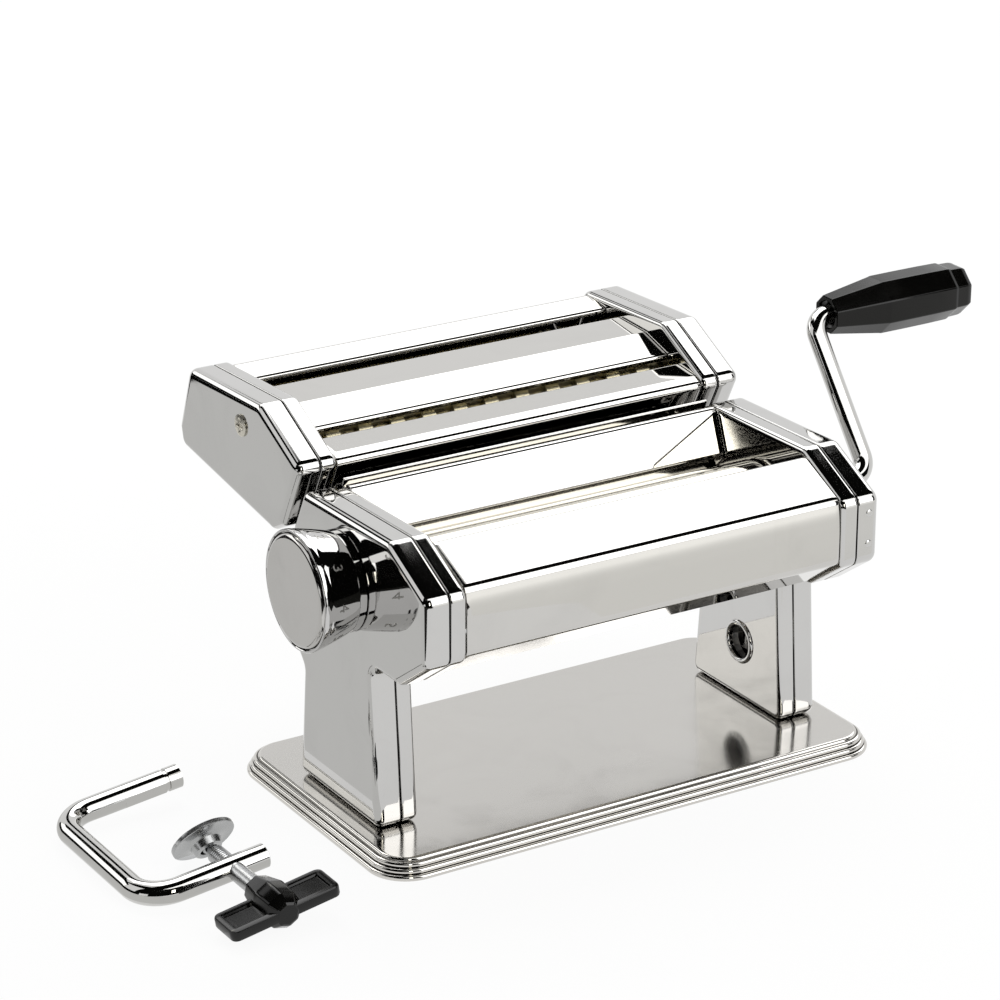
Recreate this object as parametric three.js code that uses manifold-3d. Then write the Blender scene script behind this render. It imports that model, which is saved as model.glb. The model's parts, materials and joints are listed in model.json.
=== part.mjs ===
// Hand-cranked pasta roller machine with a lift-off cutter head and a table clamp.
// Millimetres, +Z up, X along the rollers, -Y towards the user. Origin: centre of the base's underside.
// Side outlines are lists of [y, z] points, and pieces are extruded or turned along X.
import * as THREE from 'three';
import { mergeVertices } from 'three/addons/utils/BufferGeometryUtils.js';
import Module from 'manifold-3d';

const wasm = await Module();
wasm.setup();

// ---------------------------------------------------------------- driving dimensions
const GAP = 0.3; // running gap between seated pieces
const SHEET = 1.2; // wall of the pressed steel covers
const ROUND = 3; // rounding of the pressed covers' outer edges

// across the machine, from its middle outwards
const ROLLER_HALF = 75;
const ROLLER_PLAY = 1; // from a roller's end to the housing's inner face
const INNER_DEPTH = 6.3; // from the inner face to the joint between the housing's two shells
const OUTER_DEPTH = 9.7; // from that joint to the outer face
const INNER_FACE = ROLLER_HALF + ROLLER_PLAY; // face that looks at the rollers
const SEAM_AT = INNER_FACE + INNER_DEPTH; // joint between the two shells
const HALF_WIDTH = SEAM_AT + OUTER_DEPTH; // outer face of an end housing

// base
const BASE_MARGIN = 8; // deck beyond the housings' outer faces
const BASE_LENGTH = 2 * (HALF_WIDTH + BASE_MARGIN);
const BASE_DEPTH = 108;
const BASE_TOP = 7; // height of the top deck
const BASE_CORNER = 12;
const RIM_STEP = 3.5; // how far the lower rim stands out
const RIM_HEIGHT = 4.2;
const DECK_EDGE = 1.2; // chamfer round the deck
const PLATE_THICK = 1.2;

// end housings
const SEAM_GAP = 0.6;
const HEAD_FRONT = -63.2;
const HEAD_REAR = 41.5;
const HEAD_BOTTOM = 67;
const HEAD_TOP_FRONT = 117;
const HEAD_TOP_REAR = 115.4;
const LEG_FRONT_TOP = -26;
const LEG_FRONT_FOOT = -30;
const LEG_REAR_TOP = 21.5;
const LEG_REAR_FOOT = 26.5;
const FRAME_THICK = 3;

// rollers
const ROLLER_RADIUS = 15.5;
const FRONT_AXIS = [-13, 88.6];
const WIDEST_GAP = 2.6;
const NARROWEST_GAP = 0.3;
const AXIS_TILT = -22; // degrees, line from the front axis to the rear axis
const JOURNAL_RADIUS = 6;
const SOCKET_FLATS = 5.6;
const SOCKET_DEPTH = 22;
const GEAR_TEETH = 12;
const GEAR_TIP = 17.6;
const GEAR_ROOT = 13.3;
const GEAR_WIDTH = 5.5;

// thickness knob
const KNOB_AXIS = [-7.4, 92.4];
const KNOB_RADIUS = 21.4;
const KNOB_WAIST = 17.8;
const KNOB_LENGTH = 16.3;
const KNOB_STEPS = 9;
const STEP_ANGLE = 40;
const SPINDLE_RADIUS = 4;
const CAM_LOW = 8;
const CAM_WIDTH = 3;
const RING_RADIUS = 17.9;
const RING_THICK = 2.5;
const SPRING_RADIUS = 6;
const SPRING_WALL = 1.2;

// crank
const CRANK_ROD = 3.7;
const CRANK_REACH = 33; // from the housing's outer face to the plane of the throw
const CRANK_OUT = HALF_WIDTH + CRANK_REACH;
const CRANK_THROW = 62.5;
const CRANK_LEAN = 52.2; // degrees above +Y
const CRANK_BEND = 7;
const GRIP_NECK_GAP = 7; // from the throw's plane to the grip
const GRIP_START = CRANK_OUT + GRIP_NECK_GAP;
const GRIP_LENGTH = 62;
const GRIP_NECK = 7.3;
const GRIP_BELLY = 10.95;
const GRIP_END = 10.2;

// cutter head
const SLOT_FRONT = [40.3, 124.8];
const WIDE_AXIS = [41.3, 109.1];
const WIDE_SPREAD = 15;
const WIDE_TILT = 27; // degrees
const WIDE_TIP = 8.4;
const WIDE_ROOT = 6.2;
const RIBBON = 6.5; // width of one wide ribbon
const FINE_AXIS = [78.5, 117.3];
const FINE_SPREAD = 14.6;
const CUT_ROUND = 3;
const CUT_COVER = 1;
const CUTTER_GEAR_TEETH = 10;

// clamp
const CLAMP_HOLE = [-3.3, 29.7];
const CLAMP_HOLE_RADIUS = 6.3;
const CLAMP_ROD = 4.25;
const CLAMP_BACK = 69.3; // distance between the two arms
const CLAMP_UPPER = 47.4;
const CLAMP_LOWER = 44.5;
const CLAMP_BEND = 12;
const CLAMP_AT = [-179.3, -29.1];
const CLAMP_TURN = 0.3; // degrees about Z
const CLAMP_LEAN = 6.9; // degrees, arms' ends higher than the back
const SCREW_AT = 32; // along the arm
const SCREW_RADIUS = 3.3;
const PAD_RADIUS = 11.6;
const BALL_OUT = 18.4; // pad swivel's distance from the lower arm
const BALL_RADIUS = 2.5;
const PAD_THICK = 1.8;
const PAD_TILT = 35.2; // degrees, pad swivelled on its ball
const KNOB_BACK = 17.5; // wing knob's near end from the lower arm
const WING_HUB = 21.5;
const WING_THICK = 4;
const WING_TURN = 2.8; // degrees the screw is turned
const WING_SPAN = 41;

// ---------------------------------------------------------------- materials
const metal = (color, roughness) =>
  new THREE.MeshStandardMaterial({ color, roughness, metalness: 1 });
const plastic = (color, roughness) =>
  new THREE.MeshStandardMaterial({ color, roughness, metalness: 0 });
const CHROME = 0xd6d4d0;
const STEEL = 0xb9b7b2;
const BLACK = 0x1c1b1a;
const ZINC = 0xa8a9ab;
const BRASS = 0xb08d4f;

// ---------------------------------------------------------------- mesh helpers
/** A closed geometry as a manifold solid. */
function solid(geometry) {
  const bare = geometry.clone();
  bare.deleteAttribute('normal');
  bare.deleteAttribute('uv');
  const merged = mergeVertices(bare, 1e-4);
  return new wasm.Manifold(new wasm.Mesh({
    numProp: 3,
    vertProperties: Float32Array.from(merged.attributes.position.array),
    triVerts: Uint32Array.from(merged.index.array),
  }));
}

/** A manifold solid as a buffer geometry. */
function geometryOf(body) {
  const mesh = body.getMesh();
  const geometry = new THREE.BufferGeometry();
  geometry.setAttribute('position', new THREE.BufferAttribute(Float32Array.from(mesh.vertProperties), 3));
  geometry.setIndex(new THREE.BufferAttribute(Uint32Array.from(mesh.triVerts), 1));
  geometry.computeVertexNormals();
  return geometry;
}

/** Turns a geometry drawn in XY and raised along Z so that it lies in YZ and runs along X. */
function alongX(geometry) {
  const turn = new THREE.Matrix4().set(0, 0, 1, 0, 1, 0, 0, 0, 0, 1, 0, 0, 0, 0, 0, 1);
  return geometry.applyMatrix4(turn);
}

/** The mirror image across the YZ plane, faces still pointing out. */
function mirrored(geometry) {
  const copy = (geometry.index ? geometry.toNonIndexed() : geometry.clone());
  const at = copy.attributes.position.array;
  for (let i = 0; i < at.length; i += 9) {
    for (let k = 0; k < 3; k += 1) {
      const second = at[i + 3 + k];
      at[i + 3 + k] = at[i + 6 + k];
      at[i + 6 + k] = second;
    }
  }
  for (let i = 0; i < at.length; i += 3) at[i] = -at[i];
  copy.deleteAttribute('normal');
  copy.deleteAttribute('uv');
  return mergeVertices(copy, 1e-4);
}

const asShape = (points) => new THREE.Shape(points.map(([a, b]) => new THREE.Vector2(a, b)));
const add2 = (a, b, scale = 1) => [a[0] + b[0] * scale, a[1] + b[1] * scale];
const polar = (centre, radius, degrees) => [
  centre[0] + radius * Math.cos(THREE.MathUtils.degToRad(degrees)),
  centre[1] + radius * Math.sin(THREE.MathUtils.degToRad(degrees)),
];
const unit = (degrees) => polar([0, 0], 1, degrees);

/** The outline with each corner rounded by its own radius (one number, or one per corner). */
function rounded(points, radii, steps = 2) {
  const out = [];
  const count = points.length;
  points.forEach((corner, i) => {
    const radius = Array.isArray(radii) ? radii[i] : radii;
    const before = new THREE.Vector2(...points[(i + count - 1) % count]);
    const after = new THREE.Vector2(...points[(i + 1) % count]);
    const at = new THREE.Vector2(...corner);
    const inward = before.clone().sub(at).normalize();
    const outward = after.clone().sub(at).normalize();
    const half = Math.acos(THREE.MathUtils.clamp(inward.dot(outward), -1, 1)) / 2;
    const run = radius / Math.tan(half);
    if (radius < 0.05 || run < 0.02) {
      out.push(corner);
      return;
    }
    const centre = at.clone().add(inward.clone().add(outward).normalize().multiplyScalar(radius / Math.sin(half)));
    const start = at.clone().add(inward.clone().multiplyScalar(run)).sub(centre);
    const end = at.clone().add(outward.clone().multiplyScalar(run)).sub(centre);
    const sweep = Math.atan2(start.x * end.y - start.y * end.x, start.dot(end));
    for (let k = 0; k <= steps; k += 1) {
      const point = start.clone().rotateAround(new THREE.Vector2(), (sweep * k) / steps).add(centre);
      out.push([point.x, point.y]);
    }
  });
  return out;
}

/** The outline moved inwards by a distance, corners mitred. */
function inset(points, distance) {
  const count = points.length;
  const area = points.reduce((sum, [x, y], i) => {
    const [u, v] = points[(i + 1) % count];
    return sum + x * v - u * y;
  }, 0);
  const side = Math.sign(area);
  return points.map((corner, i) => {
    const at = new THREE.Vector2(...corner);
    const arrive = at.clone().sub(new THREE.Vector2(...points[(i + count - 1) % count])).normalize();
    const leave = new THREE.Vector2(...points[(i + 1) % count]).sub(at).normalize();
    const left = new THREE.Vector2(-arrive.y - leave.y, arrive.x + leave.x).normalize();
    const lean = Math.max(0.3, left.dot(new THREE.Vector2(-arrive.y, arrive.x)));
    const moved = at.add(left.multiplyScalar((side * distance) / lean));
    return [moved.x, moved.y];
  });
}

/** A prism of a [y, z] outline from x0 to x1. */
function prismX(points, x0, x1) {
  const geometry = new THREE.ExtrudeGeometry(asShape(points), { depth: x1 - x0, bevelEnabled: false });
  return alongX(geometry).translate(x0, 0, 0);
}

/** A prism whose two end edges are rounded. */
function softPrismX(points, x0, x1, round, segments = 2) {
  const geometry = new THREE.ExtrudeGeometry(asShape(points), {
    depth: x1 - x0 - 2 * round,
    bevelThickness: round,
    bevelSize: round,
    bevelOffset: -round,
    bevelSegments: segments,
  });
  return alongX(geometry).translate(x0 + round, 0, 0);
}

/** A round bar along X. */
function barX(centre, radius, x0, x1, sides = 20) {
  const geometry = new THREE.CylinderGeometry(radius, radius, x1 - x0, sides);
  return geometry.rotateZ(-Math.PI / 2).translate((x0 + x1) / 2, centre[0], centre[1]);
}

/** A turned piece about the X axis from a list of [x, radius] points that starts and ends on the axis. */
function turnedX(profile, sides = 20) {
  const geometry = new THREE.LatheGeometry(profile.map(([x, r]) => new THREE.Vector2(r, x)), sides);
  const turn = new THREE.Matrix4().set(0, 1, 0, 0, 0, 0, 1, 0, 1, 0, 0, 0, 0, 0, 0, 1);
  return geometry.applyMatrix4(turn);
}

/** A thin sheet: an open [y, z] path given a thickness to its right, as a closed outline. */
function sheetOutline(path, thick) {
  const back = path.map((corner, i) => {
    const at = new THREE.Vector2(...corner);
    const before = new THREE.Vector2(...path[Math.max(0, i - 1)]);
    const after = new THREE.Vector2(...path[Math.min(path.length - 1, i + 1)]);
    const arrive = i > 0 ? at.clone().sub(before).normalize() : after.clone().sub(at).normalize();
    const leave = i < path.length - 1 ? after.clone().sub(at).normalize() : arrive.clone();
    const right = new THREE.Vector2(arrive.y + leave.y, -arrive.x - leave.x).normalize();
    const lean = right.dot(new THREE.Vector2(arrive.y, -arrive.x));
    const moved = at.add(right.multiplyScalar(thick / lean));
    return [moved.x, moved.y];
  });
  return [...path, ...back.reverse()];
}

/** An open path with its inner corners rounded. */
function bent(path, radius, steps = 2) {
  const closed = rounded(path, path.map((_, i) => (i === 0 || i === path.length - 1 ? 0 : radius)), steps);
  return closed;
}

/** A box between two corners. */
function block(low, high) {
  const size = high.map((value, i) => value - low[i]);
  const geometry = new THREE.BoxGeometry(...size);
  return geometry.translate(...low.map((value, i) => value + size[i] / 2));
}

/** A gear outline with straight-sided teeth; the first tooth points at the phase angle. */
function gearOutline(teeth, tip, root, phase, tipShare, rootShare) {
  const points = [];
  const pitch = 360 / teeth;
  for (let i = 0; i < teeth; i += 1) {
    const middle = phase + i * pitch;
    points.push(polar([0, 0], root, middle - (pitch * rootShare) / 2));
    points.push(polar([0, 0], tip, middle - (pitch * tipShare) / 2));
    points.push(polar([0, 0], tip, middle + (pitch * tipShare) / 2));
    points.push(polar([0, 0], root, middle + (pitch * rootShare) / 2));
  }
  return points;
}

const machine = new THREE.Group();

/** Adds one named piece, at the place where its local frame sits. */
function piece(name, geometry, material, at = [0, 0, 0], parent = machine) {
  const mesh = new THREE.Mesh(geometry, material);
  mesh.name = name;
  mesh.position.set(...at);
  parent.add(mesh);
  return mesh;
}

// ---------------------------------------------------------------- base
function roundedRectangle(length, depth, radius) {
  const x = length / 2;
  const y = depth / 2;
  return rounded([[-x, -y], [x, -y], [x, y], [-x, y]], radius, 5);
}

function slab(length, depth, radius, z0, z1) {
  const outline = asShape(roundedRectangle(length, depth, radius));
  return new THREE.ExtrudeGeometry(outline, { depth: z1 - z0, bevelEnabled: false }).translate(0, 0, z0);
}

function deckSlab() {
  const outline = asShape(roundedRectangle(BASE_LENGTH, BASE_DEPTH, BASE_CORNER));
  const geometry = new THREE.ExtrudeGeometry(outline, {
    depth: BASE_TOP - 2 * DECK_EDGE,
    bevelThickness: DECK_EDGE,
    bevelSize: DECK_EDGE,
    bevelOffset: -DECK_EDGE,
    bevelSegments: 2,
  });
  return geometry.translate(0, 0, DECK_EDGE);
}

const RIM_LENGTH = BASE_LENGTH + 2 * RIM_STEP;
const RIM_DEPTH = BASE_DEPTH + 2 * RIM_STEP;
const SCREW_X = HALF_WIDTH - 7;
const SCREW_Y = 13;
const SCREW_SHANK = 2.2;
const SCREW_HEAD = 4.5;
const SCREW_HEAD_HEIGHT = 3;

function baseTop() {
  const lessWall = 2 * SHEET;
  const rim = solid(slab(RIM_LENGTH, RIM_DEPTH, BASE_CORNER + RIM_STEP, 0, RIM_HEIGHT));
  const rimHollow = solid(slab(RIM_LENGTH - lessWall, RIM_DEPTH - lessWall, BASE_CORNER + RIM_STEP - SHEET,
    -1, RIM_HEIGHT - SHEET));
  const hollow = solid(slab(BASE_LENGTH - lessWall, BASE_DEPTH - lessWall, BASE_CORNER - SHEET,
    -1, BASE_TOP - SHEET));
  let body = rim.add(solid(deckSlab())).subtract(rimHollow).subtract(hollow);
  for (const x of [-SCREW_X, SCREW_X]) {
    for (const y of [-SCREW_Y, SCREW_Y]) {
      const hole = new THREE.CylinderGeometry(SCREW_SHANK + GAP, SCREW_SHANK + GAP, 2 * BASE_TOP, 12);
      body = body.subtract(solid(hole.rotateX(Math.PI / 2).translate(x, y, BASE_TOP)));
    }
  }
  piece('base_top', geometryOf(body), metal(CHROME, 0.12));
}

function basePlate() {
  const fit = 2 * (SHEET + GAP);
  piece('base_plate', slab(RIM_LENGTH - fit, RIM_DEPTH - fit, BASE_CORNER + RIM_STEP - SHEET - GAP, 0, PLATE_THICK),
    metal(STEEL, 0.4));
}

function legScrews() {
  const seat = BASE_TOP - SHEET - GAP;
  let number = 1;
  for (const x of [-SCREW_X, SCREW_X]) {
    for (const y of [-SCREW_Y, SCREW_Y]) {
      const profile = [[0, 0], [0, SCREW_HEAD], [SCREW_HEAD_HEIGHT, SCREW_HEAD],
        [SCREW_HEAD_HEIGHT, SCREW_SHANK], [SCREW_HEAD_HEIGHT + 7.5, SCREW_SHANK],
        [SCREW_HEAD_HEIGHT + 7.5, 0]];
      const mesh = piece(`leg_screw_${number}`, turnedX(profile, 12), metal(ZINC, 0.4),
        [x, y, seat - SCREW_HEAD_HEIGHT]);
      mesh.rotation.y = -Math.PI / 2;
      number += 1;
    }
  }
}

// ---------------------------------------------------------------- end housings
const SLOPE_TOP_Y = -38.8;
const CHAMFER_TOP = 80.5;
const CHAMFER_REAR = -44;
const FRONT_CORNER = 104.6;
const REST_Z = BASE_TOP + GAP;
const NOTCH_TOP = [20.2, HEAD_TOP_REAR];
const NOTCH_FOOT = [31.8, 93];
const REAR_LEDGE = 91;
const REAR_CHAMFER_TOP = 71;
const REAR_CHAMFER_FOOT = 49;

/** Where the leg's rear edge is at a height. */
function legRear(z) {
  return THREE.MathUtils.mapLinear(z, HEAD_BOTTOM, REST_Z, LEG_REAR_TOP, LEG_REAR_FOOT);
}

const HOUSING = [
  [LEG_FRONT_FOOT, REST_Z], [LEG_REAR_FOOT, REST_Z], [legRear(REAR_CHAMFER_FOOT), REAR_CHAMFER_FOOT],
  [HEAD_REAR, REAR_CHAMFER_TOP], [HEAD_REAR, REAR_LEDGE], NOTCH_FOOT, NOTCH_TOP,
  [SLOPE_TOP_Y, HEAD_TOP_FRONT], [HEAD_FRONT, FRONT_CORNER], [HEAD_FRONT, CHAMFER_TOP],
  [CHAMFER_REAR, HEAD_BOTTOM], [LEG_FRONT_TOP, HEAD_BOTTOM],
];
const HOUSING_RADII = [3.4, 3.4, 4, 4, 3.2, 2, 3.4, 5, 4.5, 4.5, 4, 4];
const HOUSING_OUTLINE = rounded(HOUSING, HOUSING_RADII);

/** A pressed shell between two X planes, closed and rounded at the far one, open at the near one. */
function pressedShell(outline, open, closed, round) {
  const outer = solid(softPrismX(outline, open - 2 * round, closed, round));
  const trim = solid(block([open - 3 * round, -200, -10], [open, 200, 300]));
  const pocket = solid(prismX(inset(outline, SHEET), open - 1, closed - SHEET));
  return outer.subtract(trim).subtract(pocket);
}

/** The same shell turned round: closed at the near plane, open at the far one. */
function pressedShellInward(outline, closed, open, round, segments = 2) {
  const outer = solid(softPrismX(outline, closed, open + 2 * round, round, segments));
  const trim = solid(block([open, -200, -10], [open + 3 * round, 200, 300]));
  const pocket = solid(prismX(inset(outline, SHEET), closed + SHEET, open + 1));
  return outer.subtract(trim).subtract(pocket);
}

const hole = (centre, radius, x0, x1, sides = 20) => solid(barX(centre, radius, x0, x1, sides));

/** The hole for a leg screw, on the right-hand side, between two heights. */
function screwHole(y, z0, z1) {
  const radius = SCREW_SHANK + GAP;
  const geometry = new THREE.CylinderGeometry(radius, radius, z1 - z0, 12);
  return solid(geometry.rotateX(Math.PI / 2).translate(SCREW_X, y, (z0 + z1) / 2));
}

const SLIDE = unit(AXIS_TILT);
const REAR_AXIS = add2(FRONT_AXIS, SLIDE, 2 * ROLLER_RADIUS + WIDEST_GAP);
const CLOSING = WIDEST_GAP - NARROWEST_GAP;
const ROD_FRONT = [-48, 81];
const ROD_RADIUS = 3;
const BUSH_RADIUS = JOURNAL_RADIUS + 2.2;
const BLOCK_LENGTH = 17;
const BLOCK_WIDTH = 16;

/** A rectangle in the side view, centred on a point and turned. */
function turnedRectangle(centre, length, width, degrees) {
  const along = unit(degrees);
  const across = unit(degrees + 90);
  return [[-1, -1], [1, -1], [1, 1], [-1, 1]].map(([a, b]) =>
    add2(add2(centre, along, (a * length) / 2), across, (b * width) / 2));
}

/** The long window that the rear journal moves in. */
function journalWindow(clearance, x0, x1) {
  const middle = add2(REAR_AXIS, SLIDE, -CLOSING / 2);
  const length = CLOSING + 2 * (JOURNAL_RADIUS + clearance);
  const outline = turnedRectangle(middle, length, 2 * (JOURNAL_RADIUS + clearance), AXIS_TILT);
  return solid(prismX(rounded(outline, JOURNAL_RADIUS, 5), x0, x1));
}

function innerCover(name, isRight) {
  const far = SEAM_AT + 1;
  let body = pressedShellInward(HOUSING_OUTLINE, INNER_FACE, SEAM_AT, ROUND - 1, 1);
  body = body.subtract(hole(FRONT_AXIS, JOURNAL_RADIUS + 1, INNER_FACE - 1, far));
  body = body.subtract(journalWindow(1, INNER_FACE - 1, far));
  body = body.subtract(hole(ROD_FRONT, ROD_RADIUS + GAP, INNER_FACE - 1, far, 12));
  if (isRight) {
    const flange = solid(barX(CLAMP_HOLE, CLAMP_HOLE_RADIUS + 1.8, INNER_FACE - 1, INNER_FACE + SHEET, 24));
    body = body.add(flange).subtract(hole(CLAMP_HOLE, CLAMP_HOLE_RADIUS, INNER_FACE - 2, far));
  }
  const geometry = geometryOf(body);
  piece(name, isRight ? geometry : mirrored(geometry), metal(CHROME, 0.1));
}

function outerCover(name, isRight) {
  let body = pressedShell(HOUSING_OUTLINE, SEAM_AT + SEAM_GAP, HALF_WIDTH, ROUND);
  const near = HALF_WIDTH - SHEET - 1;
  if (isRight) {
    body = body.subtract(hole(FRONT_AXIS, CRANK_ROD + 2, near, HALF_WIDTH + 1));
    body = body.subtract(hole(CLAMP_HOLE, CLAMP_HOLE_RADIUS, near, HALF_WIDTH + 1));
  } else {
    body = body.subtract(hole(KNOB_AXIS, SPINDLE_RADIUS + 2.6, near, HALF_WIDTH + 1));
  }
  for (const y of [-SCREW_Y, SCREW_Y]) body = body.subtract(screwHole(y, 0, REST_Z + 3));
  const geometry = geometryOf(body);
  piece(name, isRight ? geometry : mirrored(geometry), metal(CHROME, 0.1));
}

const FRAME_IN = INNER_FACE + SHEET + GAP;
const FRAME_OUT = FRAME_IN + FRAME_THICK;
const FOOT_HEIGHT = 8;

function framePlate(name, isRight) {
  const outline = inset(HOUSING_OUTLINE, SHEET + GAP);
  let body = solid(prismX(outline, FRAME_IN, FRAME_OUT));
  const foot = block([FRAME_IN, -SCREW_Y - 7, REST_Z + SHEET + 2 * GAP],
    [SCREW_X + 3.5, SCREW_Y + 7, REST_Z + FOOT_HEIGHT]);
  body = body.add(solid(foot));
  for (const y of [-SCREW_Y, SCREW_Y]) body = body.subtract(screwHole(y, 0, REST_Z + 20));
  const near = FRAME_IN - 1;
  const far = FRAME_OUT + 1;
  body = body.subtract(hole(FRONT_AXIS, BUSH_RADIUS + GAP, near, far));
  body = body.subtract(hole(ROD_FRONT, ROD_RADIUS + GAP, near, far, 12));
  const middle = add2(REAR_AXIS, SLIDE, -CLOSING / 2);
  const window = turnedRectangle(middle, BLOCK_LENGTH + CLOSING + 2 * GAP, BLOCK_WIDTH + 2 * GAP, AXIS_TILT);
  body = body.subtract(solid(prismX(window, near, far)));
  if (isRight) body = body.subtract(hole(CLAMP_HOLE, CLAMP_HOLE_RADIUS + 1, near, far));
  const geometry = geometryOf(body);
  piece(name, isRight ? geometry : mirrored(geometry), metal(STEEL, 0.45));
}

function tieRods() {
  const reach = FRAME_OUT + 1.2;
  piece('tie_rod_front', barX(ROD_FRONT, ROD_RADIUS, -reach, reach, 12), metal(ZINC, 0.4));
}

// ---------------------------------------------------------------- covers between the housings
const COVER_HALF = INNER_FACE - GAP;
const COVER_TOP = [-40, 114.8];
const COVER_FACE = HEAD_FRONT + 0.9;
const COVER_RIDGE = [COVER_FACE, 104.5];
const COVER_FOOT = [COVER_FACE, 81.6];
const COVER_SKIRT = [-24, HEAD_BOTTOM + 3.6];
const COVER_UNDER = [CHAMFER_REAR - 0.5, HEAD_BOTTOM + 1.6];
const COVER_SHEET = 1;
const REAR_SKIRT = [27.5, 55.4];

function sheetX(name, path, material, thick = COVER_SHEET, half = COVER_HALF) {
  piece(name, prismX(sheetOutline(path, thick), -half, half), material);
}

function frontCover() {
  const path = bent([COVER_SKIRT, COVER_UNDER, COVER_FOOT, COVER_RIDGE, COVER_TOP,
    [COVER_TOP[0] + 3, COVER_TOP[1] - 3.2]], 2.4);
  sheetX('front_cover', path, metal(CHROME, 0.12));
}

function rearCover() {
  const rise = new THREE.Vector2(NOTCH_FOOT[0] - NOTCH_TOP[0], NOTCH_FOOT[1] - NOTCH_TOP[1]).normalize();
  const top = [NOTCH_TOP[0] + rise.x * 2.4 - 0.6, NOTCH_TOP[1] + rise.y * 2.4 - 0.5];
  const foot = [NOTCH_FOOT[0] + 0.6, NOTCH_FOOT[1] - 1.2];
  const path = bent([top, foot, [HEAD_REAR - 1, REAR_LEDGE - 1.6], [HEAD_REAR - 1, REAR_CHAMFER_TOP + 0.6],
    REAR_SKIRT], 1.6);
  sheetX('rear_cover', path, metal(CHROME, 0.14));
}

const FEED_TOP = [15.2, 115.5];
const FEED_FOOT = [8.8, 98.9];
const FEED_LIP = [13.2, 92.8];

function feedPlate() {
  const path = bent([[FEED_TOP[0] + 3.6, FEED_TOP[1] - 0.4], FEED_TOP, FEED_FOOT,
    FEED_LIP], 1.1, 2);
  sheetX('feed_plate', path.reverse(), metal(CHROME, 0.12), COVER_SHEET);
}

const FRONT_WIPER_FOOT = [-23.6, 71.6];
const REAR_WIPER_FOOT = [27.6, 58.2];

/** A wiper blade that leans on the underside of a roller. */
function scraper(name, axis, degrees, foot) {
  const edge = polar(axis, ROLLER_RADIUS + GAP, degrees);
  sheetX(name, foot[0] > edge[0] ? [edge, foot] : [foot, edge], metal(STEEL, 0.35), 0.8);
}

const RAIL = [[34.8, 91.4], [40, 89.86], [41.5, 94.95], [36.5, 97.35]];

/** The bar along the rear ledge that the cutter head stands on. */
function cutterRail() {
  piece('cutter_rail', prismX(RAIL, -COVER_HALF, COVER_HALF), plastic(BLACK, 0.5));
}

// ---------------------------------------------------------------- rollers and gears
const GEAR_IN = FRAME_OUT + GAP;
const GEAR_OUT = GEAR_IN + GEAR_WIDTH;

function frontRoller() {
  const end = GEAR_OUT + 1.2;
  const profile = [[-FRAME_OUT, 0], [-FRAME_OUT, JOURNAL_RADIUS], [-ROLLER_HALF, JOURNAL_RADIUS],
    [-ROLLER_HALF, ROLLER_RADIUS - 0.6], [-ROLLER_HALF + 0.6, ROLLER_RADIUS],
    [ROLLER_HALF - 0.6, ROLLER_RADIUS], [ROLLER_HALF, ROLLER_RADIUS - 0.6],
    [ROLLER_HALF, JOURNAL_RADIUS], [end, JOURNAL_RADIUS], [end, 0]];
  const socket = barX([0, 0], SOCKET_FLATS / Math.sqrt(3), end - SOCKET_DEPTH, end + 1, 6);
  const body = solid(turnedX(profile, 24)).subtract(solid(socket));
  piece('front_roller', geometryOf(body), metal(CHROME, 0.12), [0, ...FRONT_AXIS]);
}

function rearRoller() {
  const end = GEAR_OUT + 1.2;
  const profile = [[-FRAME_OUT, 0], [-FRAME_OUT, JOURNAL_RADIUS], [-ROLLER_HALF, JOURNAL_RADIUS],
    [-ROLLER_HALF, ROLLER_RADIUS - 0.6], [-ROLLER_HALF + 0.6, ROLLER_RADIUS],
    [ROLLER_HALF - 0.6, ROLLER_RADIUS], [ROLLER_HALF, ROLLER_RADIUS - 0.6],
    [ROLLER_HALF, JOURNAL_RADIUS], [end, JOURNAL_RADIUS], [end, 0]];
  piece('rear_roller', turnedX(profile, 24), metal(CHROME, 0.12), [0, ...REAR_AXIS]);
}

function rollerGear(name, axis, phase) {
  const outline = gearOutline(GEAR_TEETH, GEAR_TIP, GEAR_ROOT, phase, 0.2, 0.52);
  const body = solid(prismX(outline, GEAR_IN, GEAR_OUT))
    .subtract(hole([0, 0], JOURNAL_RADIUS + GAP, GEAR_IN - 1, GEAR_OUT + 1));
  piece(name, geometryOf(body), metal(STEEL, 0.4), [0, ...axis]);
}

function frontBushes() {
  const ring = () => solid(barX([0, 0], BUSH_RADIUS, FRAME_IN, FRAME_OUT))
    .subtract(hole([0, 0], JOURNAL_RADIUS + GAP, FRAME_IN - 1, FRAME_OUT + 1));
  piece('front_bush_right', geometryOf(ring()), metal(BRASS, 0.35), [0, ...FRONT_AXIS]);
  piece('front_bush_left', mirrored(geometryOf(ring())), metal(BRASS, 0.35), [0, ...FRONT_AXIS]);
}

// ---------------------------------------------------------------- thickness adjustment
const CAM_IN = FRAME_OUT + 0.8;
const CAM_OUT = CAM_IN + CAM_WIDTH;
const TURN_RANGE = STEP_ANGLE * (KNOB_STEPS - 1);

/** Cam outline: the radius at the follower falls evenly as the knob is turned up. */
function camOutline() {
  const points = [];
  const steps = 32;
  const lead = 15;
  for (let i = 0; i <= steps; i += 1) {
    const angle = -lead + ((360 - 2) * i) / steps;
    const share = THREE.MathUtils.clamp(angle / TURN_RANGE, 0, 1);
    points.push(polar([0, 0], CAM_LOW + CLOSING * (1 - share), AXIS_TILT - angle));
  }
  return points.reverse();
}

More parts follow.
